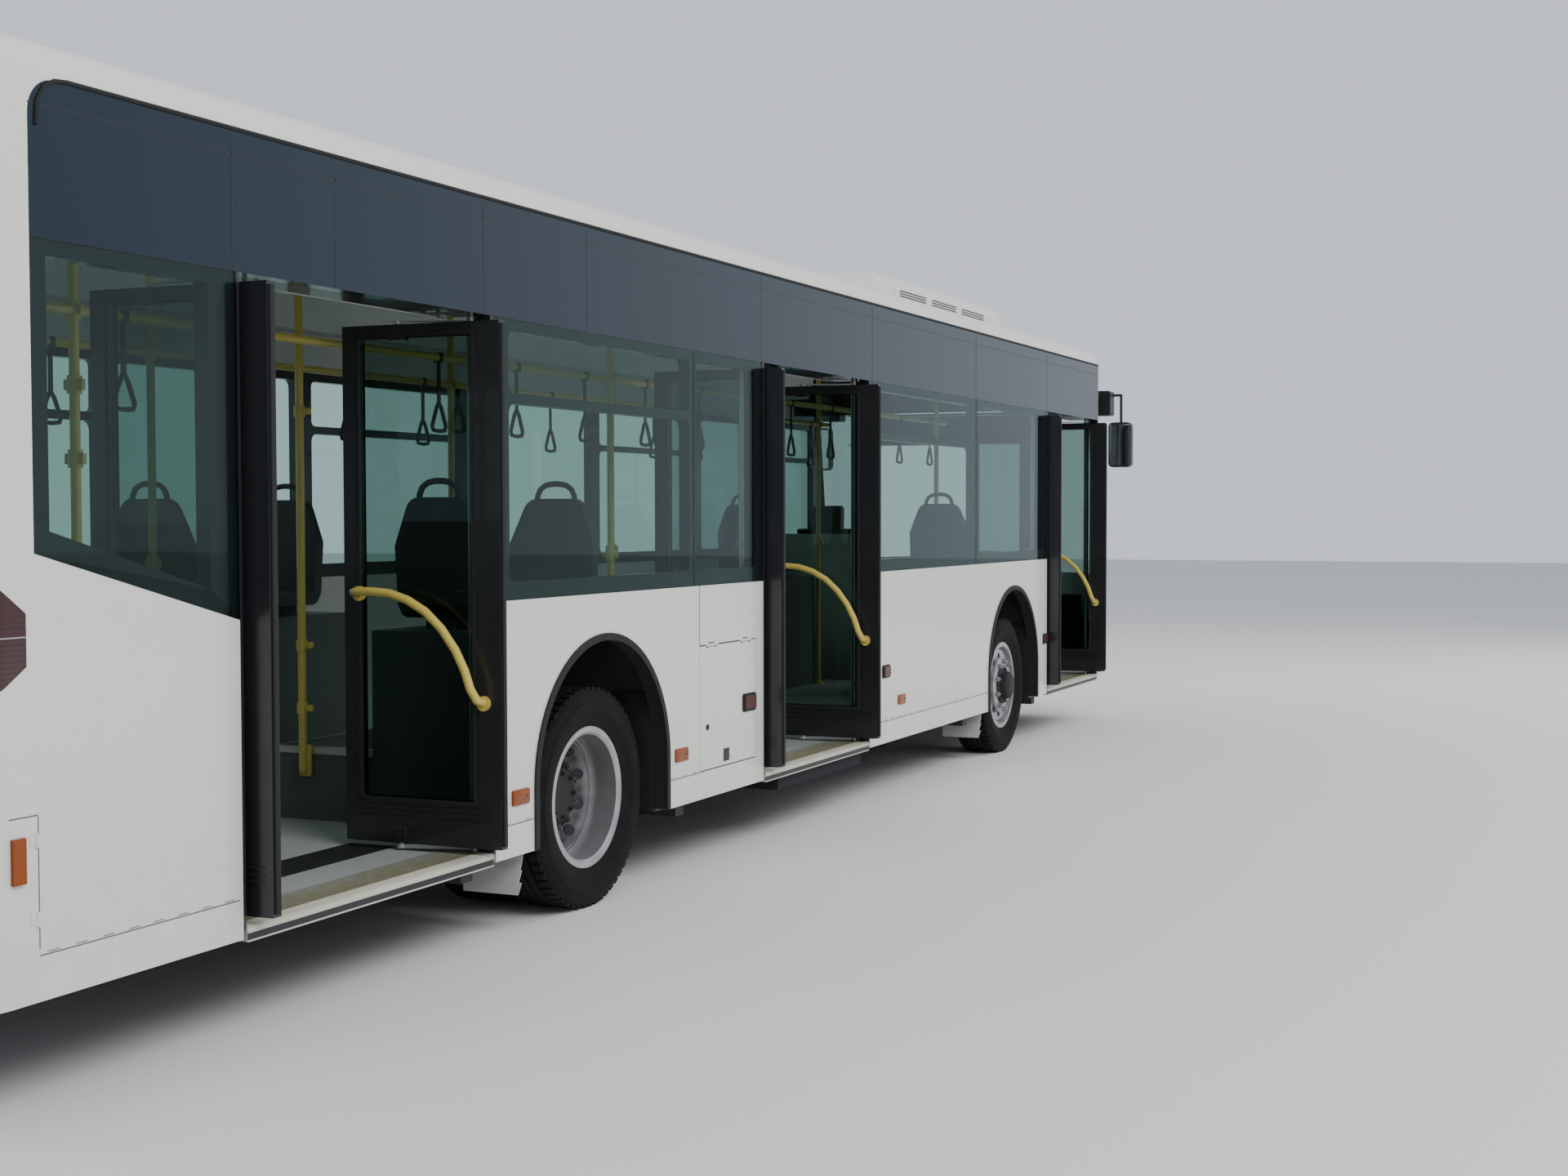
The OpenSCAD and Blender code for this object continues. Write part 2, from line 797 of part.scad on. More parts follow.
module front_axle() {
    color("dimgray") {
        blk(front_axle_x - 55, front_axle_x + 55, 95 - kingpin_y, kingpin_y - 95, 165, 245);
        pair_y() {
            blk(front_axle_x - 60, front_axle_x + 60, 370, 430, 240, beam_z);
            blk(front_axle_x - 50, front_axle_x + 50, kingpin_y - 155, kingpin_y - 105, 165, fork_z[3]);
            for (k = [0, 2])
                blk(front_axle_x - 45, front_axle_x + 45, kingpin_y - 115, kingpin_y + 40,
                    fork_z[k], fork_z[k + 1]);
        }
    }
}

module knuckle() {
    translate([front_axle_x, kingpin_y, fork_z[1] + fit_gap])
        cylinder(r = 38, h = fork_z[2] - fork_z[1] - 2 * fit_gap);
    translate([front_axle_x, kingpin_y, tyre_r]) rotate([-90, 0, 0]) cylinder(r = stub_r, h = 190);
}

module knuckle_left() {
    color("silver") knuckle();
}

module knuckle_right() {
    color("silver") mirror([0, 1, 0]) knuckle();
}

// Tyre section, turned round the wheel's own axis.
module tyre() {
    h = tyre_w / 2;
    half = [[rim_r - 22, h - 38], [rim_r, h - 38], [rim_r, h - 30], [rim_r + 12, h - 26],
        [rim_r + 60, h - 4],
        [rim_r + 95, h], [tyre_r - 40, h - 8], [tyre_r - 12, h - 20], [tyre_r, h - 40]];
    rotate([-90, 0, 0]) rotate_extrude($fn = 72) polygon(concat(half,
        [for (k = [0:8]) [half[8 - k][0], -half[8 - k][1]]]));
}

// Rim with its disc at d from the wheel's middle, and ten hand holes in the disc.
module rim(d) {
    h = tyre_w / 2;
    rotate([-90, 0, 0]) difference() {
        rotate_extrude($fn = 72) polygon([
            [rim_r - 24, -h + 30], [rim_r, -h + 30], [rim_r, -h + 38], [rim_r - 22, -h + 38],
            [rim_r - 22, h - 38], [rim_r, h - 38], [rim_r, h - 30], [rim_r - 30, h - 30],
            [rim_r - 30, d + 6], [242, d + 22], [152, d + 22], [144, d + 10], [110, d + 10],
            [110, d - 4], [150, d - 4], [158, d + 8], [238, d + 8], [rim_r - 40, d - 10],
            [rim_r - 34, d - 18], [rim_r - 34, -h + 38]]);
        for (a = [18:36:342]) rotate([0, 0, a]) translate([198, 0, d]) cylinder(r = 25, h = 50, $fn = 16);
    }
}

module hub(y0, y1, r, bore) {
    rotate([-90, 0, 0]) translate([0, 0, y0]) difference() {
        cylinder(r = r, h = y1 - y0);
        translate([0, 0, -1]) cylinder(r = bore, h = 1 + (y1 - y0) * 0.6);
    }
}

module tyre_front_left() {
    color("black") translate([front_axle_x, wheel_y, tyre_r]) tyre();
}

module tyre_front_right() {
    color("black") translate([front_axle_x, -wheel_y, tyre_r]) tyre();
}

module front_rim() {
    rim(60);
    hub(20, 120, 112, stub_r + fit_gap);
}

module rim_front_left() {
    color("silver") translate([front_axle_x, wheel_y, tyre_r]) front_rim();
}

module rim_front_right() {
    color("silver") mirror([0, 1, 0]) translate([front_axle_x, wheel_y, tyre_r]) front_rim();
}

module tyres_rear_left() {
    color("black") for (y = [wheel_y, twin_y]) translate([rear_axle_x, y, tyre_r]) tyre();
}

module tyres_rear_right() {
    color("black") for (y = [-wheel_y, -twin_y]) translate([rear_axle_x, y, tyre_r]) tyre();
}

module rear_rims() {
    mid = (tyre_w + twin_gap) / 2;
    translate([rear_axle_x, wheel_y, tyre_r]) mirror([0, 1, 0]) rim(mid - 22);
    translate([rear_axle_x, twin_y, tyre_r]) rim(mid - 22);
    translate([rear_axle_x, wheel_y - mid, tyre_r]) hub(-100, 130, 112, hub_bore);
}

module rims_rear_left() {
    color("silver") rear_rims();
}

module rims_rear_right() {
    color("silver") mirror([0, 1, 0]) rear_rims();
}

// Seats as columns: x of the middle, y, facing, z of the foot.
seat_y = box_inner_y + seat_w / 2;
seat_rows = [
    [rear_axle_x + 240, seat_y, -1, box_top_z], [rear_axle_x - 240, seat_y, 1, box_top_z],
    [rear_axle_x + 240, -seat_y, -1, box_top_z], [rear_axle_x - 240, -seat_y, 1, box_top_z],
    [front_axle_x + 100, seat_y, 1, box_top_z], [front_axle_x + 100, -seat_y, 1, box_top_z]];

// Seat shell cut from its side view and its rounded front view.
module bus_seat(x, y, s, z) {
    translate([x, y, z]) rotate([0, 0, s > 0 ? 0 : 180]) {
        blk(-150, 120, -120, 120, 0, 45);
        intersection() {
            across_y(-seat_w / 2, seat_w / 2) polygon([[190, 48], [214, 62], [222, 84], [206, 98], [20, 88],
                [-120, 84], [-158, 110], [-205, seat_h], [-250, seat_h], [-212, 100], [-185, 58],
                [-150, 44]]);
            along_x(-300, 300) polygon(concat([[seat_w / 2, 0], [seat_w / 2, seat_h - 200]],
                arc(seat_w / 2 - 130, seat_h - 70, 70, 20, 90, 5),
                arc(-seat_w / 2 + 130, seat_h - 70, 70, 90, 160, 5),
                [[-seat_w / 2, seat_h - 200], [-seat_w / 2, 0]]));
        }
    }
}

// Driver's seat: rear face of its back, and its middle line.
driver_x = x_fs - 1024;
driver_y = 0.544 * hw;

module seats() {
    color("black") {
        for (q = seat_rows) bus_seat(q[0], q[1], q[2], q[3]);
        translate([driver_x, driver_y, 0]) {
            blk(150, 520, -190, 190, floor_z, floor_z + 200);
            across_y(-240, 240) polygon([[570, floor_z + 330], [560, floor_z + 430], [530, floor_z + 465],
                [150, floor_z + 440], [60, 1500], [20, 1540], [-20, 1530], [10, 1450], [70, floor_z + 380],
                [100, floor_z + 200], [540, floor_z + 195]]);
            across_y(-130, 130) polygon([[60, 1480], [70, 1690], [40, 1720], [0, 1700], [-20, 1500]]);
        }
    }
}

// Poles from floor to ceiling at both overhead rails, and one at the left rail only.
pole_x = [bay_x + 301, door_x[1] - 868, door_x[1] + 872, front_axle_x - 790, front_axle_x + 610];
left_pole_x = door_x[0] + 837;
rail_x = [bay_x - 120, front_axle_x + 810];
corner_pole = [podium_x0 - 2 * pole_r, podium_y - 170];

function ceiling_at(y) = roof_edge_z - wall_t + crown_rise * (1 - pow(y / (hw - roof_r), 2));

module pole(x, y, z0) {
    translate([x, y, z0]) cylinder(r = pole_r, h = ceiling_at(y) - z0 - 1, $fn = 24);
}

module grab_poles() {
    color("gold") {
        pair_y() {
            translate([rail_x[0], rail_y, rail_z]) rotate([0, 90, 0])
                cylinder(r = pole_r, h = rail_x[1] - rail_x[0], $fn = 24);
            for (x = pole_x) pole(x, rail_y, floor_z);
        }
        pole(left_pole_x, rail_y, floor_z);
        // pole at the corner of the step, turned into the step's rear face
        translate([corner_pole[0], corner_pole[1], 0]) {
            translate([0, 0, podium_z - 90]) sphere(r = pole_r, $fn = 24);
            translate([0, 0, podium_z - 90]) rotate([0, 90, 0])
                cylinder(r = pole_r, h = 2 * pole_r, $fn = 24);
        }
        pole(corner_pole[0], corner_pole[1], podium_z - 90);
    }
}

desk_x = [x_fs - 134, x_fs + 176];
desk_z = 1120;

module driver_desk() {
    color("dimgray") {
        across_y(-0.4 * hw, 0.92 * hw) polygon([[desk_x[1], floor_z], [desk_x[1], desk_z - 30],
            [desk_x[1] - 25, desk_z], [desk_x[0] + 60, desk_z], [desk_x[0], desk_z - 60],
            [desk_x[0] + 90, 900],
            [desk_x[0] + 120, floor_z]]);
        blk(desk_x[1] - 115, desk_x[1], -0.86 * hw, -0.4 * hw + 10, floor_z, desk_z - 120);
        // binnacle round the steering column
        across_y(0.2 * hw, 0.92 * hw) polygon([[desk_x[0] + 10, desk_z - 140], [desk_x[0] + 10, desk_z - 60],
            [desk_x[0] - 100, desk_z - 60], [desk_x[0] - 100, desk_z + 20], [desk_x[0] - 20, desk_z + 60],
            [desk_x[0] + 60, desk_z - 1], [desk_x[0] + 90, desk_z - 140]]);
    }
}

wheel_place = [x_fs - 434, driver_y, desk_z + 60];

module steering_wheel() {
    color("black") difference() {
        translate(wheel_place) rotate([0, -60, 0]) {
            rotate_extrude($fn = 48) translate([225, 0]) circle(r = 15, $fn = 16);
            translate([0, 0, -300]) cylinder(r = 25, h = 290);
            translate([0, 0, -20]) cylinder(r = 48, h = 34);
            for (a = [90:120:330]) rotate([0, 0, a]) translate([30, -14, -9]) cube([190, 28, 14]);
        }
        blk(desk_x[0] - 100, desk_x[0] + 200, driver_y - 200, driver_y + 200, 900, 1180);
    }
}

module cab_screen() {
    color("dimgray") {
        blk(driver_x - 190, driver_x - 160, 180, in_y, floor_z, 1500);
        blk(driver_x - 160, desk_x[0] - 450, 180, 205, floor_z, 1300);
    }
}

// Door leaves at rest stand open, square to the side.
// The front leaf is built from its jamb line, the rear leaf is its mirror.
module leaf_place(d, front) {
    if (front) {
        translate([door_x[d] + half_leafs, -hw, 0]) children();
    } else {
        translate([door_x[d] - half_leafs, -hw, 0]) mirror([1, 0, 0]) children();
    }
}

// Opening of the leaf frame between two places along X.
module leaf_opening(x0, x1) {
    along_x(x0, x1) polygon(rrect(stile_out - leaf_proud, leaf_w - leaf_proud - stile_in,
        leaf_z0 + rail_low, leaf_z1 - rail_up, 25));
}

module leaf_frame(d, front) {
    color("black") leaf_place(d, front) difference() {
        blk(-open_gap - leaf_t, -open_gap, -leaf_proud, leaf_w - leaf_proud, leaf_z0, leaf_z1);
        leaf_opening(-open_gap - leaf_t - 5, -open_gap + 5);
        translate([open_px, open_py, leaf_z0 - 5]) cylinder(r = leaf_pin_r + 0.05, h = 60, $fn = 24);
        translate([open_px, open_py, leaf_z1 - 36]) cylinder(r = leaf_pin_r + 0.05, h = 60, $fn = 24);
    }
}

module leaf_glass(d, front) {
    color("lightblue", 0.4) leaf_place(d, front) leaf_opening(open_px - 3, open_px + 3);
}

module arm_bar(z0, z1) {
    dx = open_px - column_e;
    dy = open_py - column_y;
    translate([column_e, column_y, z0]) rotate([0, 0, atan2(dy, dx)])
        translate([0, -15, 0]) cube([sqrt(dx * dx + dy * dy), 30, z1 - z0]);
    translate([open_px, open_py, z0]) cylinder(r = leaf_pin_r + 9, h = z1 - z0, $fn = 24);
}

module leaf_arm(d, front) {
    color("dimgray") leaf_place(d, front) {
        translate([column_e, column_y, floor_z + fit_gap])
            cylinder(r = column_r, h = header_z - floor_z - 2 * fit_gap, $fn = 24);
        arm_bar(floor_z + 8, leaf_z0 - 6);
        arm_bar(leaf_z1 + 6, header_z - 12);
        translate([open_px, open_py, floor_z + 14])
            cylinder(r = leaf_pin_r, h = leaf_z0 + 30 - floor_z - 14, $fn = 24);
        translate([open_px, open_py, leaf_z1 - 30]) cylinder(r = leaf_pin_r, h = 38, $fn = 24);
    }
}

module leaf_1_rear() {
    leaf_frame(0, false);
}

module leaf_1_front() {
    leaf_frame(0, true);
}

module leaf_2_rear() {
    leaf_frame(1, false);
}

module leaf_2_front() {
    leaf_frame(1, true);
}

module leaf_3_rear() {
    leaf_frame(2, false);
}

module leaf_3_front() {
    leaf_frame(2, true);
}

module leaf_glass_1_rear() {
    leaf_glass(0, false);
}

module leaf_glass_1_front() {
    leaf_glass(0, true);
}

module leaf_glass_2_rear() {
    leaf_glass(1, false);
}

module leaf_glass_2_front() {
    leaf_glass(1, true);
}

module leaf_glass_3_rear() {
    leaf_glass(2, false);
}

module leaf_glass_3_front() {
    leaf_glass(2, true);
}

module arm_1_rear() {
    leaf_arm(0, false);
}

module arm_1_front() {
    leaf_arm(0, true);
}

module arm_2_rear() {
    leaf_arm(1, false);
}

module arm_2_front() {
    leaf_arm(1, true);
}

module arm_3_rear() {
    leaf_arm(2, false);
}

module arm_3_front() {
    leaf_arm(2, true);
}

side_panels_right();
side_panel_left();
window_frames_right();
window_frames_left();
body_glass();
cantrails();
roof();
floor_plate();
wheel_boxes();
door_frames();
front_mask();
headlamps();
bumpers();
windscreen();
front_pillars();
rear_wall();
tail_lamps();
engine_lid();
service_flap();
ac_pod();
mirrors();
chassis();
engine_block();
engine_cover();
rear_axle();
front_axle();
knuckle_left();
knuckle_right();
tyre_front_left();
tyre_front_right();
rim_front_left();
rim_front_right();
tyres_rear_left();
tyres_rear_right();
rims_rear_left();
rims_rear_right();
seats();
grab_poles();
driver_desk();
steering_wheel();
cab_screen();
leaf_1_rear();
leaf_1_front();
leaf_2_rear();
leaf_2_front();
leaf_3_rear();
leaf_3_front();
leaf_glass_1_rear();
leaf_glass_1_front();
leaf_glass_2_rear();
leaf_glass_2_front();
leaf_glass_3_rear();
leaf_glass_3_front();
arm_1_rear();
arm_1_front();
arm_2_rear();
arm_2_front();
arm_3_rear();
arm_3_front();
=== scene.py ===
"""Looks of a low floor airport passenger bus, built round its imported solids."""

import math

import bmesh
import bpy
from bpy.props import FloatProperty, FloatVectorProperty, IntProperty, PointerProperty
from mathutils import Matrix, Vector


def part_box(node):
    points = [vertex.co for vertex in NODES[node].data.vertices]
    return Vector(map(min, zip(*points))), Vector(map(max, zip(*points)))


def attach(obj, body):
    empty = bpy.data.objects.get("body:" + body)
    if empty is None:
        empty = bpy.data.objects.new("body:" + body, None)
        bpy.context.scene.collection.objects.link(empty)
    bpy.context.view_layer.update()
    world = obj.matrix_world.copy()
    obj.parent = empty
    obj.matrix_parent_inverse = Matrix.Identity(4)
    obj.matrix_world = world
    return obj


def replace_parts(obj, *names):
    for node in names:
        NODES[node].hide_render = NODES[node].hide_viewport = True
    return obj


bl_info = {
    "name": "Passenger bus looks",
    "version": (1, 0, 0),
    "blender": (4, 5, 0),
    "location": "3D View > Sidebar > Bus",
    "description": "Adds the finishes and the small parts of a low floor passenger bus",
    "category": "Object",
}

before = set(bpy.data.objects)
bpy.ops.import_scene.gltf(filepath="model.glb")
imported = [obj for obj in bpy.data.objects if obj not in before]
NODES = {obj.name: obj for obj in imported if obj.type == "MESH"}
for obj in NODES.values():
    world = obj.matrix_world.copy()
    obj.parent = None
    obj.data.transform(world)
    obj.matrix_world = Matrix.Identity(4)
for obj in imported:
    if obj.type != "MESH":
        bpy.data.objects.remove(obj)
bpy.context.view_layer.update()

# Places shared with the solids, in metres.
HALF_W, INNER_Y = 1.25, 1.186
REAR_X, FRONT_X = -5.99, 5.99
BELT_Z, HEADER_Z, BAND_Z, FLOOR_Z = 1.325, 2.400, 2.830, 0.370
DOOR_X, HALF_LEAVES, LEAF_T, LEAF_OUT_Y = (-4.187, -0.232, 4.850), 0.710, 0.060, -1.33
REAR_SPLIT, FRONT_SPLIT = -5.765, 5.584
AXLE_X = {"front": 3.290, "rear": -2.585}
TYRE_R, TYRE_W, TYRE_Y, TWIN_GAP = 0.465, 0.270, 1.058, 0.036
ARCH_R, ARCH_CZ, SKIRT_Z = 0.565, 0.575, 0.338
RAKE, RAKE_Z, BOW_R = math.radians(8.0), 1.150, 8.870833

# Where finishes change: undercoat starts below the floor and in the wheel boxes under their tops and
# outside their inner walls, and the rims carry painted shade round the rear hubs, mottled by dust noise.
UNDERCOAT_Z, BOX_TOP_Z, BOX_INNER_Y, HUB_SHADE_R = FLOOR_Z - 0.044, 1.162, 0.524, 0.258

# Wheels: body, tyre node, axle place, middles across, whether twin.
TWIN_Y = TYRE_Y - TYRE_W - TWIN_GAP
WHEELS = (
    ("wheel_front_left", "tyre_front_left", AXLE_X["front"], (TYRE_Y,), False),
    ("wheel_front_right", "tyre_front_right", AXLE_X["front"], (-TYRE_Y,), False),
    ("wheels_rear_left", "tyres_rear_left", AXLE_X["rear"], (TYRE_Y, TWIN_Y), True),
    ("wheels_rear_right", "tyres_rear_right", AXLE_X["rear"], (-TYRE_Y, -TWIN_Y), True))

# Half outline of a tyre with a bead, side ribs and grooves, as radius and distance from its middle.
TYRE_HALF = ((0.276, 0.097), (0.299, 0.097), (0.300, 0.106), (0.308, 0.111), (0.312, 0.112), (0.332, 0.121),
             (0.350, 0.128), (0.3515, 0.130), (0.356, 0.130), (0.358, 0.1305), (0.372, 0.134), (0.390, 0.135),
             (0.404, 0.1335), (0.4055, 0.135), (0.409, 0.1345), (0.411, 0.1315), (0.426, 0.127), (0.441, 0.121),
             (0.452, 0.114), (0.457, 0.105), (0.457, 0.066), (0.449, 0.064), (0.449, 0.057), (TYRE_R, 0.055),
             (TYRE_R, 0.023), (0.453, 0.021), (0.453, 0.015), (TYRE_R, 0.013))
# Outlines round the wheels' middles, as distance from the hub face and radius: the dished disc and the
# hub cover of the rear wheels, the hub cover and the nut ring of the front wheels.
DISH = ((0.105, 0.2638), (0.118, 0.2638), (0.121, 0.258), (0.120, 0.250), (0.110, 0.2465), (0.108, 0.2425),
        (0.116, 0.239), (0.117, 0.232), (0.108, 0.228), (0.080, 0.206), (0.058, 0.182), (0.052, 0.165),
        (0.046, 0.165), (0.052, 0.186), (0.074, 0.212), (0.098, 0.236))
REAR_HUB = ((-0.01, 0.0), (-0.01, 0.166), (0.074, 0.162), (0.084, 0.156), (0.084, 0.122), (0.112, 0.117),
            (0.120, 0.106), (0.121, 0.0))
FRONT_HUB = ((0.0, 0.0), (0.0, 0.134), (0.034, 0.130), (0.042, 0.120), (0.044, 0.100), (0.078, 0.092),
             (0.092, 0.076), (0.098, 0.045), (0.099, 0.0))
NUT_RING = ((0.0, 0.130), (0.022, 0.130), (0.030, 0.140), (0.032, 0.162), (0.030, 0.184), (0.022, 0.194),
            (0.0, 0.194))

# Seams as place along X, low and high end, or as ends along X and height, for the door side and the left.
# The skirt seam line is partly a panel seam and partly painted crease shade.
SKIRT_SEAM_SHADE_Z = 0.462
BAND_SEAMS = {-1: (-4.935, -4.417, -3.510, -2.727, -0.980, 0.540, 2.427, 4.100),
              1: (-4.30, -2.86, -1.42, 0.02, 1.46, 2.90, 4.34)}
UPRIGHT_SEAMS = {-1: ((-1.687, 1.052, BELT_Z), (2.46, BELT_Z + 0.01, HEADER_Z)),
                 1: tuple((x, SKIRT_SEAM_SHADE_Z, BELT_Z) for x in (-4.30, -1.42, 0.40, 1.90, 4.34))}
# Ends of the skirt seam lines, which are partly a panel seam and partly painted crease shade.
SKIRT_SEAM_SHADES = {-1: ((-3.42, -3.165), (-2.005, -1.692), (0.51, 2.71), (REAR_SPLIT, -4.935)),
               1: ((REAR_SPLIT, -3.165), (-2.005, 2.71), (3.87, FRONT_SPLIT))}
# Reflectors and side lamps as x, z, width, height. The first lamp of the door side is on the service flap.
REFLECTORS = ((-3.2745, 0.5625, 0.127, 0.061), (-1.8795, 0.568, 0.127, 0.061), (1.018, 0.567, 0.120, 0.058),
              (5.70, 0.567, 0.10, 0.055))
SIDE_LAMPS = ((-1.1415, 0.742, 0.150, 0.088), (0.758, 0.750, 0.120, 0.074), (4.061, 0.745, 0.110, 0.074))
# Compartment behind the service flap: its corners inside and its wall.
COMPARTMENT = ((-1.692, -1.195, 0.460), (-1.048, -0.950, 1.052), 0.004)
GUTTER = ((REAR_SPLIT + 0.03, 2.700), (REAR_SPLIT + 0.034, 2.765), (REAR_SPLIT + 0.060, 2.808),
          (REAR_SPLIT + 0.100, 2.829), (REAR_SPLIT + 0.150, 2.834), (0.0, 2.834), (5.560, 2.834))

# Handrail of a leaf: distance off its face, then the places along Y and Z.
HANDRAIL = ((0.004, -0.700, 1.352), (-0.042, -0.702, 1.358), (-0.062, -0.730, 1.362), (-0.062, -0.80, 1.363),
            (-0.062, -0.88, 1.357), (-0.062, -0.96, 1.333), (-0.062, -1.04, 1.290), (-0.062, -1.11, 1.228),
            (-0.062, -1.17, 1.150), (-0.062, -1.21, 1.075), (-0.062, -1.235, 1.005), (-0.042, -1.250, 0.962),
            (0.004, -1.256, 0.948))

# Cabin: seats as x, y and the way they face, poles and the overhead rails as places along X and Y.
SEAT_FOOT = 1.185
SEAT_ROWS = ((AXLE_X["rear"] + 0.24, 0.745, -1), (AXLE_X["rear"] - 0.24, 0.745, 1),
             (AXLE_X["rear"] + 0.24, -0.745, -1), (AXLE_X["rear"] - 0.24, -0.745, 1),
             (AXLE_X["front"] + 0.10, 0.745, 1), (AXLE_X["front"] + 0.10, -0.745, 1))
RAIL_Y = 0.47
POLES = [(x, y) for x in (-4.780, -1.100, 0.640, 2.500, 3.900) for y in (-RAIL_Y, RAIL_Y)] + [(-3.350, RAIL_Y)]
SEAT_HANDLE = ((-0.098, -0.03), (-0.094, 0.012), (-0.080, 0.042), (-0.052, 0.060), (-0.018, 0.066),
               (0.018, 0.066), (0.052, 0.060), (0.080, 0.042), (0.094, 0.012), (0.098, -0.03))
GRIP_RING = ((0.0, 0.0), (0.018, -0.022), (0.052, -0.100), (0.044, -0.118), (0.0, -0.122), (-0.044, -0.118),
             (-0.052, -0.100), (-0.018, -0.022), (-0.001, 0.0))
# The driver's pads: name, place along X and Z, the ways across and along the pad, and its size.
DRIVER_Y = 0.680
DRIVER_PADS = (("driver_cushion", 4.905, 0.828, (0.9978, 0.0, 0.0660), (0.0, 1.0, 0.0), (0.39, 0.42, 0.066)),
               ("driver_backrest", 4.668, 1.150, (0.0, 1.0, 0.0), (-0.1290, 0.0, 0.9916), (0.41, 0.60, 0.070)),
               ("driver_headrest", 4.627, 1.590, (0.0, 1.0, 0.0), (0.0480, 0.0, 0.9988), (0.24, 0.17, 0.050)))

# Fans as shares of the pod's length, and the rings of their guards.
FAN_SHARES = (0.36, 0.70)
GUARD_RINGS = (0.085, 0.125, 0.165, 0.205, 0.245, 0.285, 0.318)
# The level whose bow the lamps and the intake follow, and the places across of the blind's edges.
LAMP_LEVEL = 0.7
BLIND_Y = tuple(-0.86 + 0.172 * k for k in range(11))

# Camera: focal length, yaw, pitch and roll in degrees, and place.
LENS_MM, CAMERA_TURNS, CAMERA_AT = 44.963, (23.495, -2.157, -0.081), (-9.787, -5.196, 1.654)
# Lights: name, place, size, share of the key setting in watts, and aim.
LIGHTS = (("key", (-9.0, -14.0, 13.0), 9.0, 900.0, (0, 0, 1.2)),
          ("fill", (12.0, -10.0, 9.0), 8.0, 420.0, (0, 0, 1.2)),
          ("back", (-4.0, 14.0, 11.0), 10.0, 500.0, (0, 0, 1.5)))


# ---------------------------------------------------------------- settings
def colour(name, description, default):
    return FloatVectorProperty(name=name, description=description, subtype="COLOR", default=default, min=0, max=1)


def length(name, description, default, low, high):
    return FloatProperty(name=name, description=description, unit="LENGTH", default=default, min=low, max=high)


class BusPaint(bpy.types.PropertyGroup):
    """Colours of the body and the cabin."""

    body: colour("Body paint", "Colour of the painted panels", (0.62, 0.605, 0.555))
    pole: colour("Poles", "Colour of poles and handrails", (0.50, 0.385, 0.075))
    floor: colour("Cabin floor", "Colour of the cabin floor", (0.24, 0.25, 0.25))
    glass: colour("Glass tint", "Tint of the side glass", (0.68, 0.80, 0.76))


class BusTrim(bpy.types.PropertyGroup):
    """Sizes of the small parts."""

    rail_d: length("Handrail", "Diameter of the door handrails", 0.034, 0.02, 0.06)
    seam_w: length("Seam", "Width of the seams between panels", 0.006, 0.002, 0.02)
    tread_n: IntProperty(name="Tread blocks", description="Blocks round each tyre", default=60, min=30, max=90)
    nut_r: length("Wheel nuts", "Radius of a wheel nut", 0.016, 0.008, 0.03)


class BusStage(bpy.types.PropertyGroup):
    """Floor and light of the studio."""

    floor: colour("Ground", "Colour of the ground", (0.60, 0.60, 0.59))
    key: FloatProperty(name="Key light", description="Strength of the main light", default=3.0, min=0, max=20)
    sky: FloatProperty(name="Sky light", description="Strength of the sky", default=0.9, min=0, max=5)


# ---------------------------------------------------------------- shader maths
def _sum(operation):
    """A method of a wire that writes one sum."""
    def write(self, other=None):
        inputs = {0: self} if other is None else {0: self, 1: other}
        return self.graph.node("ShaderNodeMath", {"operation": operation}, inputs)

    return write


class Wire:
    """A shader socket on which sums can be written."""

    def __init__(self, graph, socket):
        self.graph, self.socket = graph, socket

    __add__ = __radd__ = _sum("ADD")
    __sub__ = _sum("SUBTRACT")
    __mul__ = __rmul__ = _sum("MULTIPLY")
    __truediv__ = _sum("DIVIDE")
    __gt__, __lt__ = _sum("GREATER_THAN"), _sum("LESS_THAN")
    sine, absolute, power = _sum("SINE"), _sum("ABSOLUTE"), _sum("POWER")

    def __rsub__(self, other):
        return self.graph.node("ShaderNodeMath", {"operation": "SUBTRACT"}, {0: other, 1: self})

    def clamp(self):
        return self.graph.node("ShaderNodeClamp", {}, {"Value": self})


class Graph:
    """One material, with a single method that adds any node."""

    def __init__(self, name):
        self.material = bpy.data.materials.new(name)
        self.material.use_nodes = True
        self.tree = self.material.node_tree
        self.tree.nodes.clear()
        self._place = None

    def node(self, kind, settings=None, inputs=None, output=0):
        made = self.tree.nodes.new(kind)
        for key, value in (settings or {}).items():
            setattr(made, key, value)
        for key, value in (inputs or {}).items():
            if isinstance(value, Wire):
                self.tree.links.new(value.socket, made.inputs[key])
            else:
                made.inputs[key].default_value = value
        return Wire(self, made.outputs[output]) if len(made.outputs) else None

    def place(self):
        """Object coordinates as the vector and three wires."""
        if self._place is None:
            vector = self.node("ShaderNodeTexCoord", output=3)
            split = self.node("ShaderNodeSeparateXYZ", {}, {0: vector}).socket.node
            self._place = (vector,) + tuple(Wire(self, split.outputs[k]) for k in range(3))
        return self._place

    def noise(self, scale, detail=3.0, rough=0.5):
        return self.node("ShaderNodeTexNoise", {}, {"Vector": self.place()[0], "Scale": scale, "Detail": detail,
                                                    "Roughness": rough})

    def ramp(self, wire, *stops):
        """Colours between two stops."""
        made = self.node("ShaderNodeValToRGB", {}, {"Fac": wire})
        for element, (at, tone) in zip(made.socket.node.color_ramp.elements, stops):
            element.position, element.color = at, tone
        return made

    def mix(self, factor, a, b):
        return self.node("ShaderNodeMix", {"data_type": "RGBA"}, {0: factor, 6: a, 7: b}, 2)

    def bump(self, height, strength, distance):
        return self.node("ShaderNodeBump", {}, {"Height": height, "Strength": strength, "Distance": distance})

    def surface(self, **inputs):
        keys = {key.replace("_", " "): value for key, value in inputs.items()}
        self.finish(self.node("ShaderNodeBsdfPrincipled", {}, keys))

    def finish(self, shader):
        self.node("ShaderNodeOutputMaterial", {}, {"Surface": shader})


def rgba(colour, k=1.0):
    return (colour[0] * k, colour[1] * k, colour[2] * k, 1.0)


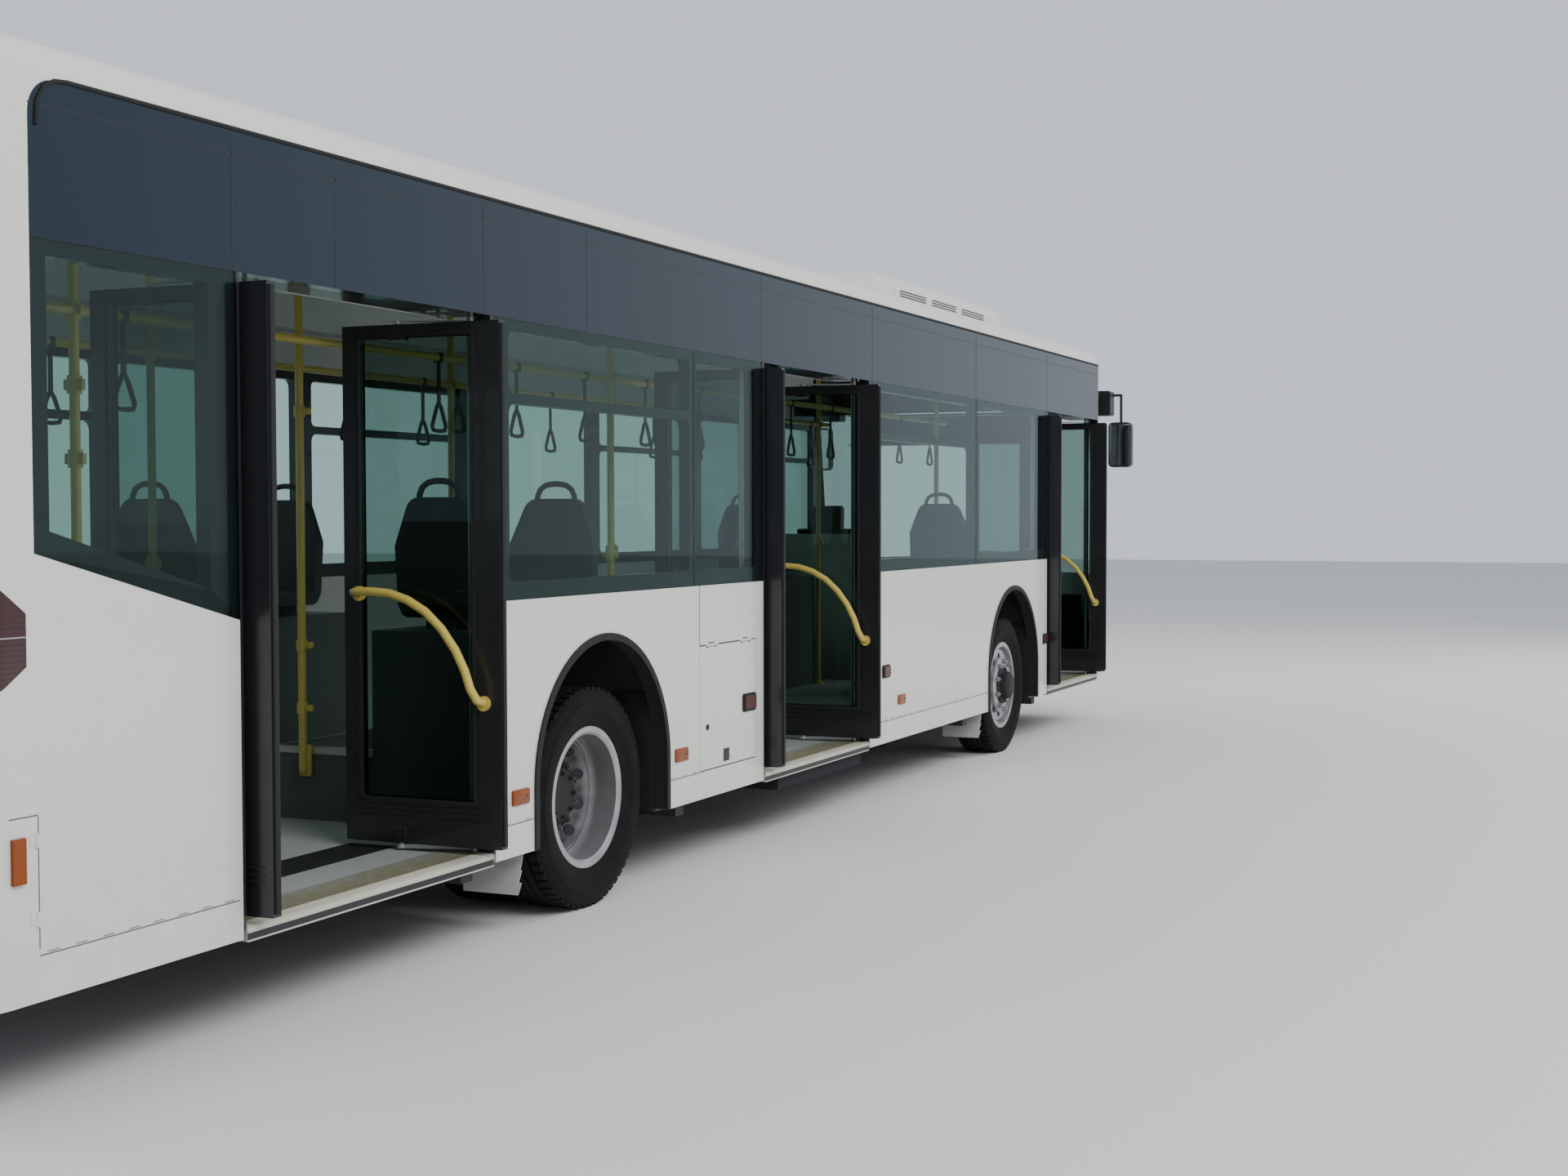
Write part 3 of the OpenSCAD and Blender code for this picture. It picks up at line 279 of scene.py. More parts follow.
# ---------------------------------------------------------------- finishes
MATERIALS = {}


def body_paint(colour):
    g = Graph("body_paint")
    z = g.place()[3]
    cloud = g.noise(1.3, 4.0)
    low = (1.0 - (z - 0.33) / 0.75).clamp()
    dust = (low * (g.noise(9.0, 5.0) - 0.30) * 1.3).clamp()
    tone = g.mix(cloud * 0.25, rgba(colour), rgba(colour, 0.94))
    tone = g.mix(dust * 0.55, tone, (0.50, 0.46, 0.39, 1))
    rough = dust * 0.35 + cloud * 0.05 + 0.20
    g.surface(Base_Color=tone, Roughness=rough, Coat_Weight=0.35, Coat_Roughness=0.06,
              Normal=g.bump(g.noise(0.9, 1.0), 0.05, 0.02))
    return g.material


def plain(name, colour, rough, metallic=0.0, coat=0.0, grain=0.0, scale=60.0, shade=0.12):
    """A finish with a little variation of tone and, where asked, a fine grain."""
    g = Graph(name)
    cloud = g.noise(scale * 0.06, 3.0)
    keys = {"Base_Color": g.mix(cloud, rgba(colour, 1 - shade), rgba(colour, 1 + shade)),
            "Roughness": cloud * 0.12 + (rough - 0.06), "Metallic": metallic}
    if coat:
        keys["Coat_Weight"] = coat
    if grain:
        keys["Normal"] = g.bump(g.noise(scale * 8, 2.0), grain, 0.002)
    g.surface(**keys)
    return g.material


def strip_glass(colour):
    """Dark painted glass that mirrors the sky a little blue."""
    g = Graph("dark_glass")
    cloud = g.noise(0.6, 3.0)
    g.surface(Base_Color=g.mix(cloud, rgba(colour, 0.8), rgba(colour, 1.2)), Roughness=cloud * 0.12 + 0.08,
              Specular_IOR_Level=0.60, Specular_Tint=(0.62, 0.85, 1.0, 1))
    return g.material


def worn_edge():
    """Yellow paint on the cabin floor, worn off towards the cabin."""
    g = Graph("floor_edge_yellow")
    y = g.place()[2]
    wear = ((y + 1.16) * 5.0 + g.noise(26.0, 6.0, 0.65) * 2.6 - 1.25).clamp()
    tone = g.mix(g.noise(60.0, 3.0), (0.108, 0.100, 0.062, 1), (0.185, 0.168, 0.090, 1))
    g.surface(Base_Color=g.mix(wear * 0.8, tone, (0.20, 0.205, 0.19, 1)), Roughness=0.62,
              Normal=g.bump(g.noise(300.0, 2.0), 0.2, 0.001))
    return g.material


def clear_glass(name, tint, veil, mirror=1.0):
    """Tinted glass: clear straight on, and more of a mirror at a flat angle."""
    g = Graph(name)
    see = g.node("ShaderNodeBsdfTransparent", {}, {"Color": rgba(tint)})
    gloss = g.node("ShaderNodeBsdfPrincipled", {}, {"Base Color": (0.80, 0.86, 0.90, 1), "Roughness": 0.02,
                                                     "Metallic": 1.0})
    flat = g.node("ShaderNodeLayerWeight", {}, {"Blend": 0.5}, 1)
    g.finish(g.node("ShaderNodeMixShader", {}, {0: (flat.power(5.0) * mirror + veil).clamp(), 1: see, 2: gloss}))
    g.material.surface_render_method = "BLENDED"
    return g.material


def tyre_rubber():
    g = Graph("tyre_rubber")
    dust = g.noise(14.0, 5.0)
    tone = g.mix((dust * 1.6 - 0.55).clamp() * 0.5, (0.004, 0.004, 0.005, 1), (0.024, 0.022, 0.019, 1))
    g.surface(Base_Color=tone, Roughness=dust * 0.2 + 0.75, Specular_IOR_Level=0.30,
              Normal=g.bump(g.noise(220.0, 2.0), 0.25, 0.002))
    return g.material


def rim_paint():
    """Silver paint with road dust, and painted shade round the rear hubs."""
    g = Graph("rim_paint")
    _, x, _, z = g.place()
    dust = g.noise(11.0, 5.0)
    tone = g.mix((dust * 1.8 - 0.6).clamp() * 0.55, (0.50, 0.50, 0.51, 1), (0.20, 0.185, 0.16, 1))
    off_x, off_z = x - AXLE_X["rear"], z - TYRE_R
    from_hub = (off_x * off_x + off_z * off_z).power(0.5)
    # Painted shade: the rim turns near black round the rear hub, mottled by the dust noise.
    near = ((from_hub * -1.0 + HUB_SHADE_R) * 22.0).clamp() * (dust * 0.9 + 0.40).clamp()
    tone = g.mix(near, tone, (0.045, 0.043, 0.040, 1))
    g.surface(Base_Color=tone, Roughness=dust * 0.2 + 0.26, Metallic=0.80,
              Normal=g.bump(g.noise(70.0, 3.0), 0.12, 0.002))
    return g.material


def frame_paint():
    """Glossy black, and matt on what hangs below the floor."""
    g = Graph("door_frame_paint")
    z = g.place()[3]
    above = z > UNDERCOAT_Z
    g.surface(Base_Color=(0.012, 0.012, 0.014, 1), Roughness=above * -0.51 + 0.85, Coat_Weight=above * 0.3)
    return g.material


def cabin_floor(colour):
    """Flecked covering on top, black undercoat below the floor."""
    g = Graph("cabin_floor")
    z = g.place()[3]
    fleck = g.ramp(g.noise(420.0, 1.0), (0.42, (0, 0, 0, 1)), (0.62, (1, 1, 1, 1)))
    tone = g.mix(fleck, rgba(colour, 0.8), rgba(colour, 1.35))
    tone = g.mix((g.noise(3.0, 4.0) * 1.5 - 0.5).clamp() * 0.4, tone, (0.33, 0.30, 0.25, 1))
    tone = g.mix(z < UNDERCOAT_Z, tone, (0.020, 0.020, 0.021, 1))
    g.surface(Base_Color=tone, Roughness=0.62, Normal=g.bump(g.noise(300.0, 2.0), 0.2, 0.001))
    return g.material


def ribbed_lens(name, colour, depth=0.3, coat=0.3, gloss=0.5):
    g = Graph(name)
    _, x, y, z = g.place()
    rib = ((z * 420.0).sine() + ((y + x) * 420.0).sine()) * 0.5
    g.surface(Base_Color=rgba(colour), Roughness=0.18, Coat_Weight=coat, Specular_IOR_Level=gloss,
              Normal=g.bump(rib, depth, 0.002))
    return g.material


def wheel_box_lining():
    """Grey floor covering on the cabin side, black undercoat in the arches."""
    g = Graph("wheel_box")
    _, x, y, z = g.place()
    near = (((x - AXLE_X["front"]).absolute() < ARCH_R + 0.010) + ((x - AXLE_X["rear"]).absolute() < ARCH_R + 0.010))
    inside = (near * (z < BOX_TOP_Z) * (y.absolute() > BOX_INNER_Y)).clamp()
    dust = (g.noise(8.0, 5.0) * 1.5 - 0.5).clamp()
    coat = g.mix(dust * 0.5, (0.046, 0.049, 0.051, 1), (0.130, 0.123, 0.112, 1))
    cloth = g.mix(g.noise(300.0, 1.0), (0.055, 0.060, 0.064, 1), (0.095, 0.100, 0.104, 1))
    g.surface(Base_Color=g.mix(inside, cloth, coat), Roughness=inside * 0.22 + 0.6,
              Normal=g.bump(g.noise(160.0, 3.0), 0.3, 0.002))
    return g.material


# Plain finishes: the record's slot, then name, colour, roughness and what else plain() takes.
PLAIN = {
    "trim": ("black_plastic", "black_trim", (0.014, 0.014, 0.015), 0.42, {"grain": 0.15}),
    "frame": ("black_gloss", "black_frame", (0.012, 0.012, 0.014), 0.34, {"coat": 0.3}),
    "rubber": ("tyre", "black_rubber", (0.011, 0.011, 0.011), 0.72, {"grain": 0.3}),
    "lining": ("floor_grey", "cabin_lining", (0.52, 0.53, 0.52), 0.55, {}),
    "seat": ("seat_black", "seat_shell", (0.022, 0.022, 0.024), 0.5, {"grain": 0.3}),
    "cushion": ("seat_black", "seat_cloth", (0.030, 0.031, 0.036), 0.9, {"grain": 0.6, "scale": 120}),
    "dark_metal": ("dark_metal", "chassis_paint", (0.035, 0.034, 0.033), 0.6, {"grain": 0.2, "shade": 0.3}),
    "metal": ("rim_silver", "bare_aluminium", (0.60, 0.60, 0.59), 0.34, {"metallic": 0.9}),
    "chrome": ("lamp_clear", "lamp_bowl", (0.80, 0.80, 0.82), 0.08, {"metallic": 1.0, "shade": 0.02}),
    "mirror": ("lamp_clear", "mirror_face", (0.70, 0.74, 0.78), 0.03, {"metallic": 1.0, "shade": 0.02}),
    "grey": ("floor_grey", "grey_plastic", (0.30, 0.30, 0.30), 0.5, {"grain": 0.2}),
    "white_plastic": ("floor_grey", "pale_plastic", (0.62, 0.62, 0.60), 0.45, {"grain": 0.1}),
    "display": ("black_gloss", "display_face", (0.012, 0.013, 0.012), 0.25, {"coat": 0.5}),
    "light": ("lamp_clear", "lamp_strip", (0.85, 0.86, 0.84), 0.4, {}),
    "sill": ("rim_silver", "sill_metal", (0.56, 0.54, 0.45), 0.42, {"metallic": 0.35, "grain": 0.1, "shade": 0.18}),
    # Grey of the panel seams, also used for the painted crease shade along the skirt.
    "seam": ("black_plastic", "seam_and_crease_shade", (0.125, 0.122, 0.117), 0.7, {}),
    "hub": ("dark_metal", "hub_paint", (0.014, 0.0135, 0.013), 0.62, {"grain": 0.2, "shade": 0.4}),
    "nut": ("rim_silver", "wheel_nut", (0.17, 0.16, 0.15), 0.42, {"metallic": 0.8, "grain": 0.1, "shade": 0.3}),
    "pale_flap": ("floor_grey", "pale_flap", (0.42, 0.42, 0.40), 0.6, {"grain": 0.2}),
}


def make_materials(paint):
    m = MATERIALS
    for key, (_, name, colour, rough, more) in PLAIN.items():
        m[key] = plain(name, colour, rough, **more)
    m["body"] = body_paint(paint.body)
    m["dark_glass"] = strip_glass((0.004, 0.0075, 0.013))
    m["glass"] = clear_glass("side_glass", paint.glass, 0.028, 0.65)
    m["screen"] = clear_glass("screen_glass", (0.88, 0.94, 0.92), 0.03)
    m["leaf_glass"] = clear_glass("leaf_glass", (0.53, 0.62, 0.60), 0.025, 0.65)
    m["tyre"] = tyre_rubber()
    m["rim"] = rim_paint()
    m["pole"] = plain("yellow_paint", paint.pole, 0.36, coat=0.4, grain=0.08)
    m["floor"] = cabin_floor(paint.floor)
    m["wheel_box"] = wheel_box_lining()
    m["door_frame"] = frame_paint()
    m["edge_yellow"] = worn_edge()
    m["red"] = ribbed_lens("red_lens", (0.030, 0.003, 0.005), 0.08, 0.5)
    m["orange"] = ribbed_lens("orange_lens", (0.215, 0.046, 0.004), 0.3, 0.0, 0.35)
    m["brown"] = ribbed_lens("side_lamp_lens", (0.050, 0.013, 0.007), 0.3, 0.0, 0.35)


NODE_FINISH = {
    "body": ("side_panels_right", "side_panel_left", "roof", "front_mask", "bumpers", "rear_wall", "engine_lid",
             "service_flap", "ac_pod"),
    "frame": ("window_frames_right", "window_frames_left", "front_pillars"),
    "door_frame": ("door_frames",),
    "dark_glass": ("cantrails",),
    "glass": ("body_glass",),
    "screen": ("windscreen",),
    "floor": ("floor_plate",),
    "wheel_box": ("wheel_boxes",),
    "grey": ("engine_cover", "cab_screen"),
    "trim": ("mirrors", "driver_desk", "steering_wheel"),
    "dark_metal": ("chassis", "engine_block", "rear_axle", "front_axle", "knuckle_left", "knuckle_right"),
    "tyre": ("tyre_front_left", "tyre_front_right", "tyres_rear_left", "tyres_rear_right"),
    "rim": ("rim_front_left", "rim_front_right", "rims_rear_left", "rims_rear_right"),
    "seat": ("seats",),
    "pole": ("grab_poles",),
    "display": ("headlamps",),
    "red": ("tail_lamps",),
}


# ---------------------------------------------------------------- modelling helpers
def piece(name, bm, finish, body="body", smooth=None):
    """Turns a bmesh into a named piece that rides on a body. It takes one finish or several."""
    finishes = [finish] if isinstance(finish, str) else finish
    mesh = bpy.data.meshes.new(name)
    bmesh.ops.remove_doubles(bm, verts=bm.verts, dist=1e-6)
    bm.to_mesh(mesh)
    bm.free()
    made = bpy.data.objects.new(name, mesh)
    bpy.context.scene.collection.objects.link(made)
    for key in finishes:
        mesh.materials.append(MATERIALS[key])
    if smooth is not None:
        for poly in mesh.polygons:
            poly.use_smooth = True
        mesh.set_sharp_from_angle(angle=math.radians(smooth))
    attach(made, body)
    return made


def boxes(name, finish, corners, bevel=0.0, segments=2, body="body", smooth=None):
    """A piece made of boxes, each given by two opposite corners."""
    bm = bmesh.new()
    for one, two in corners:
        add_box(bm, one, two, bevel, segments)
    return piece(name, bm, finish, body, smooth)


def add_box(bm, one, two, bevel=0.0, segments=2, slot=0):
    """A box between two opposite corners, its edges rounded where asked."""
    low, high = (Vector([pick(pair) for pair in zip(one, two)]) for pick in (min, max))
    size = high - low
    made = bmesh.ops.create_cube(bm, size=1.0)["verts"]
    bmesh.ops.scale(bm, vec=size, verts=made)
    if bevel:
        edges = list({e for v in made for e in v.link_edges})
        out = bmesh.ops.bevel(bm, geom=edges, offset=min(bevel, min(size) * 0.45), segments=segments,
                              profile=0.5, affect="EDGES", material=-1)
        made = list({v for f in out["faces"] for v in f.verts} | {v for v in made if v.is_valid})
    bmesh.ops.translate(bm, vec=(low + high) / 2, verts=made)
    for face in {f for v in made for f in v.link_faces}:
        face.material_index = slot


def add_rod(bm, a, b, radius, sides=12, radius_b=None):
    """A closed round bar between two points."""
    a, b = Vector(a), Vector(b)
    way = b - a
    turn = way.to_track_quat("Z", "Y").to_matrix().to_4x4()
    bmesh.ops.create_cone(bm, cap_ends=True, segments=sides, radius1=radius,
                          radius2=radius if radius_b is None else radius_b, depth=way.length,
                          matrix=Matrix.Translation((a + b) / 2) @ turn)


def add_tube(bm, points, radius, sides=12):
    """A bent bar swept along points, closed at both ends."""
    points = [Vector(p) for p in points]
    rings = []
    side = None
    for k, p in enumerate(points):
        ahead = points[min(k + 1, len(points) - 1)] - points[max(k - 1, 0)]
        ahead.normalize()
        if side is None:
            side = ahead.orthogonal().normalized()
        side = (side - ahead * side.dot(ahead)).normalized()
        turn = Matrix((side, ahead.cross(side), ahead)).transposed().to_4x4()
        rings.append(bmesh.ops.create_circle(bm, cap_ends=False, segments=sides, radius=radius,
                                             matrix=Matrix.Translation(p) @ turn)["verts"])
    faces = []
    for one, two in zip(rings, rings[1:]):
        edges = [e for ring in (one, two) for e in {e for v in ring for e in v.link_edges
                                                    if all(w in ring for w in e.verts)}]
        faces += bmesh.ops.bridge_loops(bm, edges=edges)["faces"]
    for ring in (rings[0], rings[-1]):
        faces += bmesh.ops.contextual_create(bm, geom=ring)["faces"]
    bmesh.ops.recalc_face_normals(bm, faces=faces)


def add_lathe(bm, outline, centre, axis="Y", steps=48):
    """A closed outline of (along, radius) pairs spun round an axis."""
    along = Vector([float(axis == name) for name in "XYZ"])
    out = Vector((1, 0, 0)) if axis == "Z" else Vector((0, 0, 1))
    centre = Vector(centre)
    verts = [bm.verts.new(centre + along * a + out * r) for a, r in outline]
    edges = [bm.edges.new((verts[k], verts[(k + 1) % len(verts)])) for k in range(len(verts))]
    bmesh.ops.spin(bm, geom=verts + edges, cent=centre, axis=along, angle=math.tau, steps=steps, use_merge=True)


def thicken(bm, faces, way):
    """Turns a thin layer of faces into a closed plate."""
    made = bmesh.ops.extrude_face_region(bm, geom=faces)["geom"]
    moved = [v for v in made if isinstance(v, bmesh.types.BMVert)]
    bmesh.ops.translate(bm, vec=way, verts=moved)
    bmesh.ops.recalc_face_normals(bm, faces=list({f for v in moved for f in v.link_faces} | set(faces)))


def add_skin(bm, corners, thick):
    """A thin plate through four corners."""
    p = [Vector(c) for c in corners]
    n = (p[1] - p[0]).cross(p[3] - p[0]).normalized() * thick
    faces = bmesh.ops.contextual_create(bm, geom=[bm.verts.new(q - n / 2) for q in p])["faces"]
    thicken(bm, faces, n)


def add_sheet(bm, one, two, thick):
    """Thin plates side by side between two lines of points."""
    for k in range(len(one) - 1):
        add_skin(bm, (one[k], one[k + 1], two[k + 1], two[k]), thick)


def side_strip(bm, points, y, out, width):
    """A flat strip along points in the side plane, standing out of the face at y."""
    lines = ([], [])
    for k, (x, z) in enumerate(points):
        (ax, az), (bx, bz) = points[max(k - 1, 0)], points[min(k + 1, len(points) - 1)]
        way = Vector((bx - ax, 0, bz - az)).normalized()
        across = Vector((-way.z, 0, way.x)) * width / 2
        lines[0].append(bm.verts.new(Vector((x, y, z)) + across))
        lines[1].append(bm.verts.new(Vector((x, y, z)) - across))
    edges = [bm.edges.new(pair) for line in lines for pair in zip(line, line[1:])]
    thicken(bm, bmesh.ops.bridge_loops(bm, edges=edges)["faces"], (0, out, 0))


def circle_points(cx, cz, r, a0, a1, n):
    """Places on an arc from one angle to another, in degrees."""
    turns = [math.radians(a0 + (a1 - a0) * k / n) for k in range(n + 1)]
    return [(cx + r * math.cos(a), cz + r * math.sin(a)) for a in turns]


def spread(a, b, pitch):
    """Evenly spaced places from a to b."""
    n = max(1, round((b - a) / pitch))
    return [a + (b - a) * k / n for k in range(n + 1)] if b > a else []


def add_pillow(bm, centre, u, v, size, cuts):
    """A crowned pad, flat below, its sides drawn in between the corners."""
    u, v = Vector(u), Vector(v)
    w = u.cross(v)
    before = set(bm.verts)
    made = bmesh.ops.create_cube(bm, size=2.0)["verts"]
    edges = list({e for q in made for e in q.link_edges})
    bmesh.ops.subdivide_edges(bm, edges=edges, cuts=cuts, use_grid_fill=True)
    for q in set(bm.verts) - before:
        a, b, c = q.co
        crown = max(0.0, (1.0 - a * a) * (1.0 - b * b)) ** 0.4
        corner = 1.0 - 0.06 * a * a * b * b
        a *= corner * (1.0 - 0.05 * (1.0 - b * b)) * (1.0 - 0.03 * c * c)
        b *= corner * (1.0 - 0.05 * (1.0 - a * a)) * (1.0 - 0.03 * c * c)
        c *= 0.40 + 0.60 * crown if c > 0 else 0.40
        q.co = Vector(centre) + u * (a * size[0] / 2) + v * (b * size[1] / 2) + w * (c * size[2] / 2)


def bolt_ring(bm, centre, s, n, ring_r, r):
    """Hexagon bolts or nuts in a ring, standing out of a face across Y."""
    x, y, z = centre
    for k in range(n):
        a = math.tau * k / n
        bx, bz = x + ring_r * math.sin(a), z + ring_r * math.cos(a)
        add_rod(bm, (bx, y - s * 0.002, bz), (bx, y + s * r * 0.4, bz), r * 1.25, 12)
        add_rod(bm, (bx, y + s * r * 0.3, bz), (bx, y + s * r * 1.4, bz), r, 6)
        add_rod(bm, (bx, y + s * r * 1.3, bz), (bx, y + s * r * 2.0, bz), r * 0.62, 8, r * 0.5)


def lens(bm, x, y, z, a, b, s, out):
    """A lens with round corners, of size a by b, on a side panel."""
    before = set(bm.verts)
    back, front = y - s * 0.001, y + s * out
    add_box(bm, (x - a / 2, min(back, front), z - b / 2), (x + a / 2, max(back, front), z + b / 2))
    posts = [e for e in bm.edges if not before & set(e.verts) and abs(e.verts[0].co.y - e.verts[1].co.y) > 1e-4]
    bmesh.ops.bevel(bm, geom=posts, offset=min(a, b) * 0.17, segments=5, profile=0.5, affect="EDGES", material=-1)
    rim = [e for e in bm.edges if not before & set(e.verts) and all(abs(v.co.y - front) < 1e-6 for v in e.verts)]
    bmesh.ops.bevel(bm, geom=rim, offset=out * 0.4, segments=2, profile=0.5, affect="EDGES", material=-1)


# ---------------------------------------------------------------- operators
class BUS_OT_finishes(bpy.types.Operator):
    """Gives every solid its finish."""

    bl_idname = "bus.finishes"
    bl_label = "Finishes"

    def execute(self, context):
        make_materials(context.scene.bus_paint)
        for key, names in NODE_FINISH.items():
            for name in names:
                dress(name, key)
        for name in NODES:
            if name.startswith("leaf_glass"):
                dress(name, "leaf_glass")
            elif name.startswith("leaf_"):
                dress(name, "frame")
            elif name.startswith("arm_"):
                dress(name, "metal")
        return {"FINISHED"}


def dress(name, key):
    mesh = NODES[name].data
    mesh.materials.clear()
    mesh.materials.append(MATERIALS[key])


def leaves():
    """Every door leaf: its body, its number, its end, and the side of the door that it stands at."""
    for d in range(3):
        for end, s in (("front", 1), ("rear", -1)):
            yield f"leaf_{d + 1}_{end}", d, end, s


class BUS_OT_handrails(bpy.types.Operator):
    """Adds the bent yellow handrail on the inner face of each door leaf."""

    bl_idname = "bus.handrails"
    bl_label = "Door handrails"

    def execute(self, context):
        radius = context.scene.bus_trim.rail_d / 2
        for body, d, end, s in leaves():
            face = DOOR_X[d] + s * (HALF_LEAVES - LEAF_T)
            bm = bmesh.new()
            add_tube(bm, [(face + s * out, y, z) for out, y, z in HANDRAIL], radius, 14)
            for out, y, z in (HANDRAIL[0], HANDRAIL[-1]):
                add_rod(bm, (face + s * out, y, z), (face - s * 0.010, y, z), radius * 1.7, 16)
            piece(f"handrail_{d + 1}_{end}", bm, "pole", body, smooth=45)
        return {"FINISHED"}


class BUS_OT_wheels(bpy.types.Operator):
    """Puts treaded tyres, nuts and hub covers on the wheels."""

    bl_idname = "bus.wheels"
    bl_label = "Wheels"

    def execute(self, context):
        trim = context.scene.bus_trim
        for body, node, x, ys, rear in WHEELS:
            s = 1 if ys[0] > 0 else -1
            bm = bmesh.new()
            for y in ys:
                add_tyre(bm, (x, y, TYRE_R), trim.tread_n)
            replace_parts(piece(f"tread_{body}", bm, "tyre", body, smooth=30), node)
            hub = (x, ys[0] + s * (-0.139 if rear else 0.082), TYRE_R)
            # The nuts' distance from the hub face and the radius of their ring.
            out, ring_r = (0.084, 0.141) if rear else (0.030, 0.166)
            nuts = bmesh.new()
            bolt_ring(nuts, (x, hub[1] + s * out, TYRE_R), s, 10, ring_r, trim.nut_r)
            if rear:
                add_dish(body, hub, s)
                drum, (bolt_out, bolt_ring_r, bolt_r) = REAR_HUB, (0.120, 0.092, 0.008)
            else:
                lathe_across(nuts, NUT_RING, hub, s, 60)
                drum, (bolt_out, bolt_ring_r, bolt_r) = FRONT_HUB, (0.044, 0.109, 0.006)
            cap = bmesh.new()
            lathe_across(cap, drum, hub, s, 40)
            bolt_ring(cap, (x, hub[1] + s * bolt_out, TYRE_R), s, 8, bolt_ring_r, bolt_r)
            piece(f"hub_cover_{body}", cap, "hub", body, smooth=35)
            piece(f"wheel_nuts_{body}", nuts, "nut" if rear else "rim", body, smooth=35)
        return {"FINISHED"}


def add_dish(body, hub, s):
    """Disc of the outer rear wheel, with black discs as painted shade in its ten hand holes."""
    dish, holes = bmesh.new(), bmesh.new()
    lathe_across(dish, DISH, hub, s, 72)
    piece(f"dish_{body}", dish, "rim", body, smooth=30)
    # Ten black discs, slightly proud, paint the shade seen through the hand holes.
    for k in range(10):
        a = math.tau * k / 10
        out = Vector((math.sin(a), 0.0, math.cos(a)))
        mid = Vector(hub) + Vector((0.0, s * 0.083, 0.0)) + out * 0.205
        way = Vector((0.0, s * 0.677, 0.0)) - out * 0.736
        add_rod(holes, mid - way * 0.004, mid + way * 0.0016, 0.026, 18)
    piece(f"hand_hole_shades_{body}", holes, "trim", body)


def lathe_across(bm, outline, hub, s, steps):
    """Spins an outline round a wheel's axle, outwards on its own side."""
    add_lathe(bm, [(s * a, r) for a, r in outline], hub, steps=steps)


def add_tyre(bm, centre, blocks):
    """Tyre with beads, side ribs, tread grooves and shoulder blocks."""
    outline = [(y, r) for r, y in TYRE_HALF] + [(-y, r) for r, y in reversed(TYRE_HALF)]
    add_lathe(bm, outline, centre, steps=72)
    low, high = Vector((-0.0165, 0.067, 0.450)), Vector((0.0165, 0.111, 0.4645))
    mid = (low + high) / 2
    for k in range(blocks):
        turn = Matrix.Translation(centre) @ Matrix.Rotation(math.tau * k / blocks, 4, "Y")
        for s in (-1, 1):
            made = bmesh.ops.create_cube(bm, size=1.0)["verts"]
            bmesh.ops.scale(bm, vec=high - low, verts=made)
            place = turn @ Matrix.Translation((s * 0.006, s * mid.y, mid.z))
            bmesh.ops.transform(bm, matrix=place, verts=made)


class BUS_OT_arches(bpy.types.Operator):
    """Adds the rubber lip of each wheel arch, the mudflaps and the brackets inside."""

    bl_idname = "bus.arches"
    bl_label = "Wheel arches"

    def execute(self, context):
        for end, ax in AXLE_X.items():
            for s, side in ((-1, "right"), (1, "left")):
                bm = bmesh.new()
                for r, y, out, width in ((ARCH_R + 0.004, HALF_W, 0.009, 0.030),
                                         (ARCH_R - 0.003, INNER_Y, 0.070, 0.005)):
                    arc = circle_points(ax, ARCH_CZ, r, 0, 180, 40)
                    path = [(ax + r, SKIRT_Z), (ax + r, 0.46), *arc, (ax - r, 0.46), (ax - r, SKIRT_Z)]
                    side_strip(bm, path, s * y, s * out, width)
                piece(f"arch_lip_{end}_{side}", bm, "rubber", smooth=40)
                add_shield(f"arch_shield_{end}_{side}", ax + ARCH_R, s)
                add_mudflap(f"mudflap_{end}_{side}", ax - ARCH_R - 0.040, s)
        return {"FINISHED"}


def add_shield(name, x, s):
    """Rubber sheet in front of the wheel, on two bars with two bolts each. The door side's edges are sharp."""
    bm = bmesh.new()
    add_box(bm, (x - 0.030, s * 1.00, 0.330), (x - 0.022, s * 1.19, 0.86), 0.003 * (s > 0))
    for z in (0.62, 0.40):
        add_box(bm, (x - 0.024, s * 1.03, z), (x - 0.001, s * 1.17, z + 0.05), 0.004 * (s > 0))
    for z in (0.425, 0.645):
        for y in (1.06, 1.14):
            add_rod(bm, (x - 0.036, s * y, z), (x - 0.020, s * y, z), 0.008, 8)
    piece(name, bm, "rubber")


def add_mudflap(name, x, s):
    """Pale flap behind the wheel, bent a little backwards, on a bar whose edges are sharp on the door side."""
    bm = bmesh.new()
    inner, outer, top, length = 0.94, 1.21, 0.325, 0.165
    bend = ((top, 0.0), (0.300, -0.006), (0.26, -0.010), (0.21, -0.012), (0.160, -0.006))
    for (z0, d0), (z1, d1) in zip(bend, bend[1:]):
        edge = outer - 0.02 * (top - z1) / length
        add_skin(bm, ((x + d0, s * inner, z0), (x + d0, s * outer, z0), (x + d1, s * edge, z1),
                      (x + d1, s * inner, z1)), 0.005)
    add_box(bm, (x - 0.012, s * 0.93, 0.300), (x + 0.014, s * 1.20, 0.330), 0.003 * (s > 0))
    piece(name, bm, "pale_flap")


class BUS_OT_side_trim(bpy.types.Operator):
    """Adds seams, reflectors, side lamps, gutters, and what belongs to the service flap and the rear corner."""

    bl_idname = "bus.side_trim"
    bl_label = "Side trim"

    def execute(self, context):
        for s, side in ((-1, "right"), (1, "left")):
            add_seams(side, s, s * HALF_W, context.scene.bus_trim.seam_w)
            add_lights(side, s, s * HALF_W)
            bm = bmesh.new()
            add_tube(bm, [(x, s * (HALF_W + 0.001), z) for x, z in GUTTER], 0.007, 8)
            piece(f"gutter_{side}", bm, "rubber", smooth=60)
        add_flap_parts()
        add_rear_corner()
        return {"FINISHED"}


